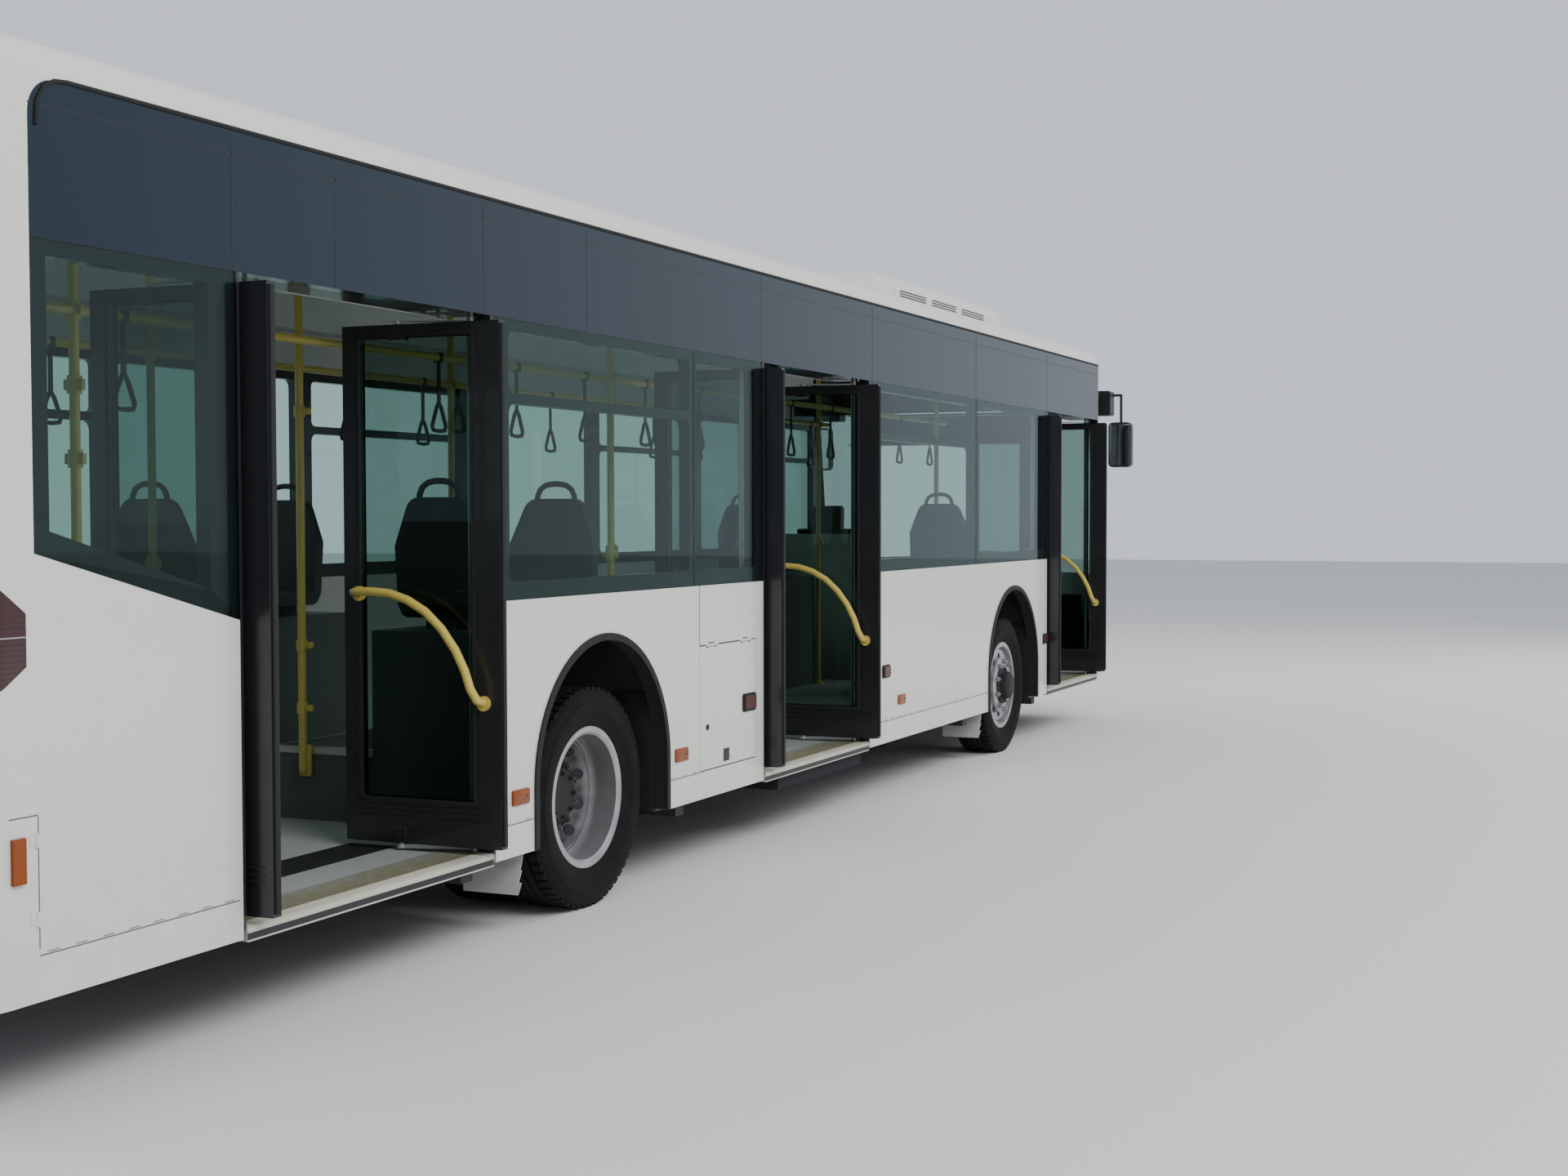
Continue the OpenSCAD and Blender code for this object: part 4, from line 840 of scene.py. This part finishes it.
def add_seams(side, s, y, w):
    """Seams between the panels, dark above the belt, the skirt seam partly as painted crease shade, and dashes of
    painted crease shade along the skirt.
    """
    thin = 0.0006
    seams = bmesh.new()
    uprights = [(x, HEADER_Z, BAND_Z - 0.016) for x in BAND_SEAMS[s]]
    for x, z0, z1 in (*uprights, *UPRIGHT_SEAMS[s]):
        add_box(seams, (x - w / 2, y - thin, z0), (x + w / 2, y + thin, z1), slot=int(z1 > BELT_Z))
    for x0, x1, z in ((REAR_SPLIT, 5.55, BAND_Z - 0.073), *((*ends, SKIRT_SEAM_SHADE_Z) for ends in SKIRT_SEAM_SHADES[s])):
        add_box(seams, (x0, y - thin, z - w / 3), (x1, y + thin, z + w / 3), slot=int(z > BELT_Z))
    piece(f"panel_seams_{side}", seams, ("seam", "trim"))
    # Dashes of painted crease shade along the skirt seam.
    boxes(f"skirt_shade_dashes_{side}", "seam", [
        ((x - 0.022, y - 0.0008, 0.4675), (x + 0.022, y + 0.0008, 0.4700))
        for x0, x1 in SKIRT_SEAM_SHADES[s] for x in spread(x0 + 0.05, x1 - 0.05, 0.105)])


def add_lights(side, s, y):
    """Reflectors with two rivets each, and side lamps on their rubber bases."""
    bm, rivets = bmesh.new(), bmesh.new()
    for x, z, a, b in REFLECTORS:
        lens(bm, x, y, z, a, b, s, 0.008)
        for at in (x - a * 0.36, x + a * 0.36):
            add_rod(rivets, (at, y + s * 0.006, z), (at, y + s * 0.0095, z), 0.0055, 12)
    piece(f"reflectors_{side}", bm, "orange", smooth=30)
    piece(f"reflector_rivets_{side}", rivets, "nut")
    sets = ((f"_{side}", "body", SIDE_LAMPS),) if s > 0 else (
        ("_flap", "service_flap", SIDE_LAMPS[:1]), (f"_{side}", "body", SIDE_LAMPS[1:]))
    for place, body, lamps in sets:
        bm, bases = bmesh.new(), bmesh.new()
        for x, z, a, b in lamps:
            lens(bm, x, y, z, a * 0.86, b * 0.80, s, 0.016)
            lens(bases, x, y, z, a, b, s, 0.007)
        piece(f"side_lamps{place}", bm, "brown", body)
        piece(f"side_lamp_bases{place}", bases, "rubber", body)


def add_flap_parts():
    """Lock and handle of the service flap, and the open box behind it."""
    bm = bmesh.new()
    add_rod(bm, (-1.606, -1.249, 0.665), (-1.606, -1.254, 0.665), 0.014, 20)
    add_rod(bm, (-1.606, -1.252, 0.665), (-1.606, -1.256, 0.665), 0.007, 12)
    add_box(bm, (-1.431, -1.2535, 0.486), (-1.371, -1.2490, 0.546), 0.003)
    piece("flap_lock", bm, "trim", "service_flap")
    (x0, y0, z0), (x1, y1, z1), wall = COMPARTMENT
    bm = bmesh.new()
    add_box(bm, (x0 - wall, y1, z0 - wall), (x1 + wall, y1 + wall, z1 + wall), 0.001, 1)
    for a, b in ((x0 - wall, x0), (x1, x1 + wall)):
        add_box(bm, (a, y0, z0), (b, y1, z1))
    for a, b in ((z0 - wall, z0), (z1, z1 + wall)):
        add_box(bm, (x0 - wall, y0, a), (x1 + wall, y1, b))
    piece("flap_compartment", bm, "dark_metal")


def add_rear_corner():
    """Hinges and seams of the rear corner panel, and the markers, of which the left one has round edges."""
    x = REAR_SPLIT
    bm = bmesh.new()
    for z in (0.776, 0.562):
        add_rod(bm, (x - 0.006, -1.2515, z - 0.02), (x - 0.006, -1.2515, z + 0.02), 0.005, 10)
        add_box(bm, (x - 0.030, -1.2515, z - 0.016), (x - 0.008, -1.2495, z + 0.016))
    piece("corner_hinges", bm, "body")
    boxes("corner_seams", "seam", [((-5.868, -1.2506, 0.843), (x, -1.2494, 0.847)),
                                   ((x - 0.002, -1.2506, 0.480), (x + 0.002, -1.2494, 0.843))])
    bm = bmesh.new()
    for s in (-1, 1):
        add_box(bm, (-5.865, s * 1.2490 - 0.001, 0.668), (-5.819, s * 1.2620, 0.792), 0.006 * (s > 0), 3)
    piece("rear_markers", bm, "orange")


class BUS_OT_door_trim(bpy.types.Operator):
    """Adds rubbers, ridges and pivot plates on the leaves, and sills and gear covers in the doorways."""

    bl_idname = "bus.door_trim"
    bl_label = "Door trim"

    def execute(self, context):
        for body, _, _, _ in leaves():
            dress_leaf(body, *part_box(body))
        for d, x in enumerate(DOOR_X):
            dress_doorway(d + 1, x)
        return {"FINISHED"}


def dress_leaf(body, low, high):
    """Rubbers along the edges and round the glass, ridges on the bottom rail, plates at the pivots."""
    (x0, y0, z0), (x1, y1, z1) = low, high
    mid = (x0 + x1) / 2
    bm = bmesh.new()
    for y, out in ((y0, -0.008), (y1, 0.008)):
        add_box(bm, (mid - 0.012, y - out / 8, z0 + 0.01), (mid + 0.012, y + out, z1 - 0.01), 0.004)
    add_box(bm, (mid - 0.006, y0 + 0.03, z0 - 0.004), (mid + 0.006, y1 - 0.03, z0 + 0.002))
    piece(f"edge_rubber_{body}", bm, "rubber", body, smooth=40)
    # The glass, whose broad stile is the one at the arm.
    stiles = (0.120, 0.070) if abs(y0 - LEAF_OUT_Y) < 0.01 else (0.070, 0.120)
    ya, yb, za, zb, over, lap = y0 + stiles[0], y1 - stiles[1], z0 + 0.170, z1 - 0.045, 0.012, 0.004
    boxes(f"glass_rubber_{body}", "rubber", [
        ((face, a, c), (face + 0.003, b, e)) for face in (x0 - 0.003, x1)
        for a, b, c, e in ((ya - over, ya + lap, za - over, zb + over), (yb - lap, yb + over, za - over, zb + over),
                           (ya, yb, za - over, za + lap), (ya, yb, zb - lap, zb + over))], 0.001, 1, body)
    boxes(f"rail_ridges_{body}", "frame", [
        ((face, y0 + 0.030, z0 + z), (face + out, y1 - 0.030, z0 + z + 0.007))
        for z in (0.106, 0.129, 0.150) for face, out in ((x0, -0.004), (x1, 0.004))], 0.0015, 1, body)
    boxes(f"pivot_plate_{body}", "frame", [
        ((x0 - 0.004, -0.905, z), (x1 + 0.004, -0.835, z + 0.04)) for z in (z0 + 0.02, z1 - 0.06)],
        0.004, body=body)


def dress_doorway(number, x):
    """Ribbed sill with its nosing and lower lip, a black face between them as painted shade, worn floor edge, and the
    cover of the door gear.
    """
    half, z = 0.716, FLOOR_Z
    bm = bmesh.new()
    add_box(bm, (x - half, -1.2540, z - 0.019), (x + half, -1.2440, z - 0.001), 0.003)
    add_box(bm, (x - half, -1.2540, z - 0.046), (x + half, -1.2440, z - 0.040), 0.002)
    add_box(bm, (x - half, -HALF_W, z - 0.001), (x + half, -1.1850, z + 0.0030), 0.001, 1)
    for y in (-1.243 + 0.008 * k for k in range(7)):
        add_box(bm, (x - 0.710, y, z + 0.0028), (x + 0.710, y + 0.003, z + 0.0042))
    piece(f"sill_{number}", bm, "sill")
    # Painted shade: a black face under the nosing, where the sill lies in shadow.
    boxes(f"sill_painted_shade_{number}", "trim", [((x - half, -1.2512, z - 0.040), (x + half, -1.2440, z - 0.019))])
    boxes(f"floor_edge_{number}", "edge_yellow", [
        ((x - 0.712, -1.1850, z - 0.001), (x + 0.712, -1.0150, z + 0.0022))], 0.001, 1)
    bm = bmesh.new()
    section = ((-1.037, 2.398), (-1.037, 2.512), (-1.117, 2.594), (-1.190, 2.594))
    add_sheet(bm, *([(x + out, *place) for place in section] for out in (-0.736, 0.736)), 0.004)
    for at in (x - 0.60, x + 0.60):
        add_rod(bm, (at, -1.040, 2.455), (at, -1.032, 2.455), 0.014, 16)
    piece(f"gear_cover_{number}", bm, "lining")


class BUS_OT_cabin(bpy.types.Operator):
    """Adds seat handles and pads, grips, clamps, edges, grip strips, coves and lamps."""

    bl_idname = "bus.cabin"
    bl_label = "Cabin"

    def execute(self, context):
        add_seat_parts()
        boxes("step_edges", "metal", [((-3.0525, -0.498, 0.650), (-3.0490, 0.092, 0.6785)),
                                      ((-3.0525, -0.498, 0.6745), (-3.0200, 0.092, 0.6785)),
                                      ((-3.0490, 0.0885, 0.650), (-2.022, 0.0925, 0.6785))], 0.001)
        add_grips()
        add_clamps()
        # Grip strips in the doorways as middle along X, first rib across, and number of ribs.
        boxes("grip_strips", "rubber", [
            ((x - 0.42, y + 0.015 * k, FLOOR_Z), (x + 0.42, y + 0.015 * k + 0.012, FLOOR_Z + 0.0026))
            for x, y, ribs in ((-3.90, -0.810, 14), (-0.23, -0.720, 8), (4.75, -0.680, 8)) for k in range(ribs)])
        add_ceiling()
        return {"FINISHED"}


def add_seat_parts():
    """Handles and thin pads on the passenger seats, and the pads of the driver's seat."""
    bm, pads = bmesh.new(), bmesh.new()
    for x, y, s in SEAT_ROWS:
        back, top = x - s * 0.228, SEAT_FOOT + 0.54
        add_tube(bm, [(back, y + dy, top + dz) for dy, dz in SEAT_HANDLE], 0.013, 10)
        add_pillow(pads, (x - s * 0.1815, y, SEAT_FOOT + 0.325), (0.0, s, 0.0), (-s * 0.109, 0.0, 0.994),
                   (0.30, 0.33, 0.030), 5)
        add_pillow(pads, (x + s * 0.030, y, SEAT_FOOT + 0.090), (1.0, 0.0, 0.0), (0.0, 1.0, 0.0),
                   (0.28, 0.33, 0.032), 5)
    piece("seat_handles", bm, "seat", smooth=60)
    piece("seat_pads", pads, "cushion", smooth=50)
    for name, x, z, u, v, size in DRIVER_PADS:
        bm = bmesh.new()
        add_pillow(bm, (x, DRIVER_Y, z), u, v, size, 9)
        piece(name, bm, "cushion", smooth=60)


def add_grips():
    """Hanging grips on the overhead rails, clear of the poles."""
    bm = bmesh.new()
    places = [x for x in spread(-4.55, 3.75, 0.62) if min(abs(x - pole) for pole, _ in POLES) > 0.12]
    low = 2.135
    for y in (-RAIL_Y, RAIL_Y):
        for x in places:
            add_box(bm, (x - 0.014, y - 0.020, 2.308), (x + 0.014, y + 0.020, 2.350), 0.006)
            add_box(bm, (x - 0.011, y - 0.003, low), (x + 0.011, y + 0.003, 2.312))
            add_tube(bm, [(x + dx, y, low + dz) for dx, dz in GRIP_RING], 0.009, 8)
    piece("hanging_grips", bm, "trim", smooth=50)


def add_clamps():
    """Clamps and feet of the poles."""
    bm = bmesh.new()
    for x, y in POLES:
        for z in (2.330, 2.084, 1.840) if x < -4.5 else (2.330, 1.45):
            add_rod(bm, (x, y, z - 0.03), (x, y, z + 0.03), 0.0245, 16)
            add_box(bm, (x - 0.010, y - 0.040, z - 0.018), (x + 0.010, y + 0.040, z + 0.018), 0.004)
        add_rod(bm, (x, y, FLOOR_Z), (x, y, FLOOR_Z + 0.012), 0.045, 20)
        add_rod(bm, (x, y, FLOOR_Z + 0.012), (x, y, FLOOR_Z + 0.03), 0.026, 16, 0.020)
    # The pole that stands at the step.
    x, y = -3.084, -0.08
    for z in (2.085, 1.109, 0.845):
        add_rod(bm, (x, y, z - 0.022), (x, y, z + 0.022), 0.0235, 16)
        add_box(bm, (x - 0.010, y - 0.055, z - 0.014), (x + 0.010, y + 0.020, z + 0.014), 0.005)
    add_box(bm, (x + 0.006, y - 0.027, 0.555), (-3.0505, y + 0.027, 0.690), 0.008, 3)
    piece("pole_clamps", bm, "pole", smooth=45)


def add_ceiling():
    """Coves above the windows with the panels over them, and lamps and joints of the ceiling."""
    rear, front, out = -5.60, 5.10, 0.74
    cove = ((0.90, 2.899), (0.985, 2.840), (1.035, 2.640), (1.050, 2.600), (1.186, 2.598))
    ends = (rear, *(x + way for x in DOOR_X for way in (-out, out)))
    between_doors = tuple(zip(ends[0:6:2], ends[1:6:2]))
    bm = bmesh.new()
    for s in (-1, 1):
        add_sheet(bm, *([(x, s * y, z) for y, z in cove] for x in (rear, front)), 0.004)
        for x0, x1 in between_doors if s < 0 else ((rear, front),):
            add_box(bm, (x0, s * 1.183, 2.402), (x1, s * 1.189, 2.598))
    piece("ceiling_coves", bm, "lining", smooth=30)
    boxes("ceiling_lamps", "light", [((x - 0.62, s * 0.66, 2.878), (x + 0.62, s * 0.80, 2.912))
                                     for s in (-1, 1) for x in spread(-4.6, 3.8, 1.40)], 0.012, 3, smooth=40)
    boxes("ceiling_joints", "seam", [((x - 0.004, -0.90, 2.888), (x + 0.004, 0.90, 2.9135))
                                     for x in spread(-4.9, 4.5, 1.88)])


class BUS_OT_roof(bpy.types.Operator):
    """Adds fans and grilles on the pod and the hatches."""

    bl_idname = "bus.roof"
    bl_label = "Roof"

    def execute(self, context):
        low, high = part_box("ac_pod")
        centres = [low[0] + share * (high[0] - low[0]) for share in FAN_SHARES]
        add_fans(centres, high[2] - 0.040)
        add_guards(centres, high[2] - 0.002)
        side = high[1]
        boxes("pod_slots", "trim", [
            ((low[0] + x, s * side - 0.0015, z), (low[0] + x + 0.50, s * side + 0.0015, z + 0.008))
            for s in (-1, 1) for x in (0.52, 1.14, 1.76) for z in (2.985 + 0.016 * j for j in range(6))])
        boxes("pod_joints", "trim", [
            ((low[0] + x - 0.002, -side - 0.001, 2.965), (low[0] + x + 0.002, side + 0.001, high[2] - 0.09))
            for x in (0.42, 1.32, 2.2)])
        for name, x in (("rear", -3.35), ("front", -0.75)):
            bm = bmesh.new()
            add_box(bm, (x - 0.40, -0.32, 2.955), (x + 0.40, 0.32, 2.996), 0.008)
            add_box(bm, (x - 0.37, -0.29, 2.990), (x + 0.37, 0.29, 3.026), 0.016, 3)
            for s in (-1, 1):
                add_rod(bm, (x + 0.39, s * 0.18 - 0.04, 3.000), (x + 0.39, s * 0.18 + 0.04, 3.000), 0.008, 10)
            piece(f"roof_hatch_{name}", bm, "white_plastic", smooth=40)
        return {"FINISHED"}


def add_fans(centres, z):
    """Fans with nine pitched blades and a hub."""
    bm = bmesh.new()
    pitch = Matrix.Translation((0.18, 0, 0)) @ Matrix.Rotation(math.radians(28), 4, "X")
    for x in centres:
        for n in range(9):
            turn = Matrix.Translation((x, 0, z + 0.022)) @ Matrix.Rotation(math.tau * n / 9, 4, "Z")
            made = bmesh.ops.create_cube(bm, size=1.0)["verts"]
            bmesh.ops.scale(bm, vec=(0.24, 0.085, 0.004), verts=made)
            bmesh.ops.transform(bm, matrix=turn @ pitch, verts=made)
        add_rod(bm, (x, 0, z), (x, 0, z + 0.034), 0.072, 24, 0.064)
    piece("pod_fans", bm, "trim")


def add_guards(centres, z):
    """Wire guards over the fans: rings on eight spokes."""
    bm = bmesh.new()
    wire = [math.tau * k / 6 for k in range(6)]
    for x in centres:
        for r in GUARD_RINGS:
            add_lathe(bm, [(0.0022 * math.cos(a), r + 0.0022 * math.sin(a)) for a in wire], (x, 0, z), "Z", 40)
        for n in range(8):
            a = math.tau * n / 8
            inner, outer = ((x + r * math.cos(a), r * math.sin(a), z) for r in (0.04, 0.324))
            add_rod(bm, inner, outer, 0.0028, 6)
    piece("pod_guards", bm, "dark_metal", smooth=60)


class BUS_OT_front_end(bpy.types.Operator):
    """Adds lamps, wipers, the blind box, the plate and the mirror faces."""

    bl_idname = "bus.front_end"
    bl_label = "Front end"

    def execute(self, context):
        for s, side in ((-1, "right"), (1, "left")):
            add_lamps(side, s)
        add_wipers()
        add_blind()
        x = front_x(0.0, 0.42)
        boxes("plate_holder_front", "trim", [((x - 0.008, -0.275, 0.375), (x + 0.006, 0.275, 0.500))], 0.004)
        boxes("blank_plate_front", "white_plastic", [((x + 0.004, -0.258, 0.384), (x + 0.0085, 0.258, 0.492))], 0.002)
        ys = [-1.0 + 0.1 * k for k in range(21)]
        bm = bmesh.new()
        for z, z0, z1 in ((0.56, 0.5585, 0.5625), (0.93, 0.9280, 0.9320)):
            add_sheet(bm, *(on_front(ys, z, level, -0.0004) for level in (z0, z1)), 0.0012)
        piece("front_seams", bm, "seam")
        ys = [-0.515 + 0.103 * k for k in range(11)]
        bm = bmesh.new()
        for k in range(4):
            add_sheet(bm, *(on_front(ys, LAMP_LEVEL, z + 0.044 * k, 0.008) for z in (0.612, 0.632)), 0.004)
        piece("intake_mesh", bm, "trim")
        return {"FINISHED"}


def add_lamps(side, s):
    """Headlamp bowls with their bulbs and cover, turn lamp, mirror face and fog lamp of one side."""
    bowls, lamps = bmesh.new(), bmesh.new()
    for y, r, depth in ((0.775, 0.072, 0.016), (0.955, 0.066, 0.020)):
        x = front_x(y, LAMP_LEVEL) - depth
        add_lathe(bowls, [(0.004, r), (0.020, r), (0.020, r * 0.90), (0.002, r * 0.55), (-0.004, 0.0),
                          (-0.004, 0.001), (0.004, 0.001)], (x, s * y, 0.725), "X", 36)
        add_lathe(lamps, [(0.0, 0.001), (0.0, r * 0.30), (0.020, r * 0.28), (0.028, r * 0.12), (0.030, 0.001)],
                  (x + 0.002, s * y, 0.725), "X", 24)
    piece(f"lamp_bowls_{side}", bowls, "chrome", smooth=40)
    piece(f"lamp_bulbs_{side}", lamps, "light", smooth=40)
    ys = [0.690 + 0.044 * k for k in range(10)]
    bm = bmesh.new()
    add_sheet(bm, *([(front_x(y, LAMP_LEVEL) - 0.0015 - max(0.0, y - 1.0) * 0.10, s * y, z) for y in ys]
                    for z in (0.612, 0.808)), 0.003)
    piece(f"lamp_cover_{side}", bm, "screen")
    x, y = front_x(1.05, 0.65) - 0.020, s * 1.065
    boxes(f"front_turn_lamp_{side}", "orange", [((x - 0.03, y - 0.032, 0.655), (x + 0.012, y + 0.032, 0.800))],
          0.010, 3)
    x, y = 5.9935, s * 1.3225
    boxes(f"mirror_face_{side}", "mirror", [((x, y - 0.080, 2.050), (x + 0.0025, y + 0.080, 2.385))], 0.001)
    y, z = 0.62, 0.452
    bm = bmesh.new()
    add_lathe(bm, [(-0.01, 0.001), (-0.01, 0.050), (0.004, 0.050), (0.004, 0.042), (-0.003, 0.040),
                   (-0.003, 0.001)], (front_x(y, z), s * y, z), "X", 32)
    piece(f"fog_lamp_{side}", bm, "chrome", smooth=40)


def add_wipers():
    """Two wipers, each with its pivot, bent arm, blade and clip."""
    bm = bmesh.new()
    z0 = 1.225
    for y, tip in ((0.93, 0.10), (0.02, -0.86)):
        x0 = front_x(y, z0) + 0.006
        add_rod(bm, (x0 - 0.02, y, z0), (x0 + 0.016, y, z0), 0.020, 16)
        arm = [(y + (tip - y) * t, z0 + 0.075 * t) for t in (0.0, 0.2, 0.4, 0.6, 0.75)]
        arm = [Vector((front_x(ya, za) + 0.022, ya, za)) for ya, za in arm]
        add_tube(bm, arm, 0.0065, 8)
        add_tube(bm, [(front_x(tip + t, z0 + 0.055) + 0.012, tip + t, z0 + 0.050 + 0.03 * (y - tip - t))
                      for t in (0.0, 0.15, 0.30, 0.45, 0.60, 0.74)], 0.007, 6)
        add_box(bm, arm[-1] - Vector((0.014, 0.03, 0.014)), arm[-1] + Vector((0.006, 0.03, 0.010)), 0.003)
    piece("wipers", bm, "trim", smooth=50)


def add_blind():
    """Blank display behind the windscreen, with the top and bottom of its box."""
    z0, z1 = 2.235, 2.470
    bm = bmesh.new()
    add_sheet(bm, *(on_front(BLIND_Y, z, z, 0.040) for z in (z0, z1)), 0.006)
    piece("blind_face", bm, "display")
    bm = bmesh.new()
    for level, z in ((z1, z1 + 0.004), (z0, z0 - 0.004)):
        add_sheet(bm, *(on_front(BLIND_Y, level, z, depth) for depth in (0.05, 0.30)), 0.006)
    piece("blind_box", bm, "trim")


def front_x(y, z):
    """Place along X of the front skin at a height, upright below the rake line and leaning above it."""
    bow = BOW_R - math.sqrt(BOW_R ** 2 - y * y)
    return FRONT_X - bow - max(0.0, z - RAKE_Z) * math.tan(RAKE)


def on_front(ys, level, z, depth):
    """A line of points behind the front skin: it follows the skin's bow at one level and runs at a height."""
    return [(front_x(y, level) - depth, y, z) for y in ys]


class BUS_OT_rear_end(bpy.types.Operator):
    """Adds lamp cells, locks, the third brake lamp and the plate."""

    bl_idname = "bus.rear_end"
    bl_label = "Rear end"

    def execute(self, context):
        x = REAR_X
        for s, side in ((-1, "right"), (1, "left")):
            add_tail_lamp(side, s)
            boxes(f"rear_reflector_{side}", "red", [((x - 0.010, s * 0.98, 0.585), (x + 0.002, s * 1.09, 0.632))],
                  0.006, 3)
            boxes(f"rear_top_lamp_{side}", "red", [((x - 0.014, s * 0.86, 2.700), (x + 0.002, s * 0.94, 2.735))],
                  0.006, 3)
        boxes("third_brake_lamp", "red", [((x - 0.012, -0.28, 2.520), (x + 0.002, 0.28, 2.556))], 0.006, 3)
        boxes("blank_plate_rear", "white_plastic", [((x - 0.001, -0.252, 0.402), (x + 0.004, 0.252, 0.510))], 0.002)
        bm = bmesh.new()
        for y in (-0.55, 0.55):
            add_lathe(bm, [(-0.004, 0.001), (-0.004, 0.016), (0.0, 0.022), (0.004, 0.022), (0.004, 0.001)],
                      (x, y, 0.645), "X", 24)
            add_box(bm, (x - 0.006, y - 0.004, 0.633), (x - 0.002, y + 0.004, 0.657), 0.001)
        add_box(bm, (x - 0.010, -0.11, 0.630), (x + 0.002, 0.11, 0.660), 0.005)
        piece("lid_locks", bm, "trim", "engine_lid", smooth=40)
        y0, z0, z1, r = 0.875, BELT_Z + 0.235, HEADER_Z - 0.040, 0.060
        corners = ((y0 - r, z1 - r), (r - y0, z1 - r), (r - y0, z0 + r), (y0 - r, z0 + r))
        loop = [p for k, (y, z) in enumerate(corners) for p in circle_points(y, z, r, 90 * k, 90 * k + 90, 6)]
        bm = bmesh.new()
        add_tube(bm, [(x + 0.001, y, z) for y, z in loop + loop[:1]], 0.007, 6)
        piece("rear_glass_rubber", bm, "rubber", smooth=60)
        return {"FINISHED"}


def add_tail_lamp(side, s):
    """Grey bar across the tail lamp, bent round the corner, and the two round cells."""
    low, high = 1.3262, 1.3298
    bm = bmesh.new()
    add_box(bm, (REAR_X - 0.0015, s * 1.075, low), (REAR_X + 0.0015, s * 1.13, high))
    add_box(bm, (-5.870, s * HALF_W - 0.0015, low), (-5.799, s * HALF_W + 0.0015, high))
    arc = circle_points(-5.87, 1.13, 0.1205, 90, 180, 12)
    add_sheet(bm, *([(x, s * y, z) for x, y in arc] for z in (low, high)), 0.002)
    piece(f"tail_lamp_split_{side}", bm, "grey")
    r = 0.034
    bm = bmesh.new()
    for z in (1.395, 1.262):
        add_lathe(bm, [(-0.006, 0.001), (-0.006, r * 0.9), (-0.002, r), (0.004, r), (0.004, 0.001)],
                  (REAR_X, s * 1.090, z), "X", 28)
    piece(f"tail_lamp_cells_{side}", bm, "red", smooth=40)


class BUS_OT_camera(bpy.types.Operator):
    """Sets the camera at the photograph's place."""

    bl_idname = "bus.camera"
    bl_label = "Camera"

    def execute(self, context):
        data = bpy.data.cameras.new("camera")
        data.sensor_fit, data.sensor_width, data.lens, data.clip_end = "HORIZONTAL", 36.0, LENS_MM, 200.0
        camera = bpy.data.objects.new("camera", data)
        yaw, pitch, roll = (math.radians(a) for a in CAMERA_TURNS)
        look = Vector((math.cos(yaw) * math.cos(pitch), math.sin(yaw) * math.cos(pitch), math.sin(pitch)))
        side = look.cross(Vector((0, 0, 1))).normalized()
        up = side.cross(look)
        side, up = math.cos(roll) * side + math.sin(roll) * up, math.cos(roll) * up - math.sin(roll) * side
        turn = Matrix((side, up, -look)).transposed().to_4x4()
        camera.matrix_world = Matrix.Translation(CAMERA_AT) @ turn
        context.scene.collection.objects.link(camera)
        context.scene.camera = camera
        return {"FINISHED"}


class BUS_OT_stage(bpy.types.Operator):
    """Adds the pale ground and the soft lights."""

    bl_idname = "bus.stage"
    bl_label = "Stage"

    def execute(self, context):
        stage = context.scene.bus_stage
        bm = bmesh.new()
        bmesh.ops.create_grid(bm, x_segments=1, y_segments=1, size=60.0)
        mesh = bpy.data.meshes.new("ground")
        bm.to_mesh(mesh)
        bm.free()
        ground = bpy.data.objects.new("ground", mesh)
        g = Graph("ground")
        g.surface(Base_Color=rgba(stage.floor), Roughness=0.9)
        mesh.materials.append(g.material)
        context.scene.collection.objects.link(ground)
        for name, place, size, power, aim in LIGHTS:
            light = bpy.data.lights.new(name, "AREA")
            light.size = size
            light.energy = power * stage.key
            lamp = bpy.data.objects.new(name, light)
            lamp.visible_glossy = False
            turn = (Vector(place) - Vector(aim)).to_track_quat("Z", "Y").to_matrix().to_4x4()
            lamp.matrix_world = Matrix.Translation(place) @ turn
            context.scene.collection.objects.link(lamp)
        world = bpy.data.worlds.new("sky")
        world.use_nodes = True
        back = world.node_tree.nodes["Background"]
        back.inputs["Color"].default_value = (0.86, 0.91, 1.0, 1)
        back.inputs["Strength"].default_value = stage.sky
        context.scene.world = world
        context.scene.view_settings.view_transform = "AgX"
        return {"FINISHED"}


class BUS_PT_parts(bpy.types.Panel):
    """Lists the groups of parts."""

    bl_idname = "BUS_PT_parts"
    bl_label = "Passenger bus"
    bl_space_type = "VIEW_3D"
    bl_region_type = "UI"
    bl_category = "Bus"

    def draw(self, context):
        for group in (context.scene.bus_paint, context.scene.bus_trim, context.scene.bus_stage):
            for key in group.__annotations__:
                self.layout.prop(group, key)
        for step in STEPS:
            self.layout.operator(step.bl_idname)


STEPS = (BUS_OT_finishes, BUS_OT_handrails, BUS_OT_wheels, BUS_OT_arches, BUS_OT_side_trim,
         BUS_OT_door_trim, BUS_OT_cabin, BUS_OT_roof, BUS_OT_front_end, BUS_OT_rear_end, BUS_OT_camera, BUS_OT_stage)
GROUPS = (BusPaint, BusTrim, BusStage)


def register():
    for made in GROUPS + STEPS + (BUS_PT_parts,):
        bpy.utils.register_class(made)
    bpy.types.Scene.bus_paint = PointerProperty(type=BusPaint)
    bpy.types.Scene.bus_trim = PointerProperty(type=BusTrim)
    bpy.types.Scene.bus_stage = PointerProperty(type=BusStage)


def unregister():
    del bpy.types.Scene.bus_paint, bpy.types.Scene.bus_trim, bpy.types.Scene.bus_stage
    for made in reversed(GROUPS + STEPS + (BUS_PT_parts,)):
        bpy.utils.unregister_class(made)


def main():
    register()
    for step in STEPS:
        group, name = step.bl_idname.split(".")
        getattr(getattr(bpy.ops, group), name)()


if __name__ == "__main__":
    main()
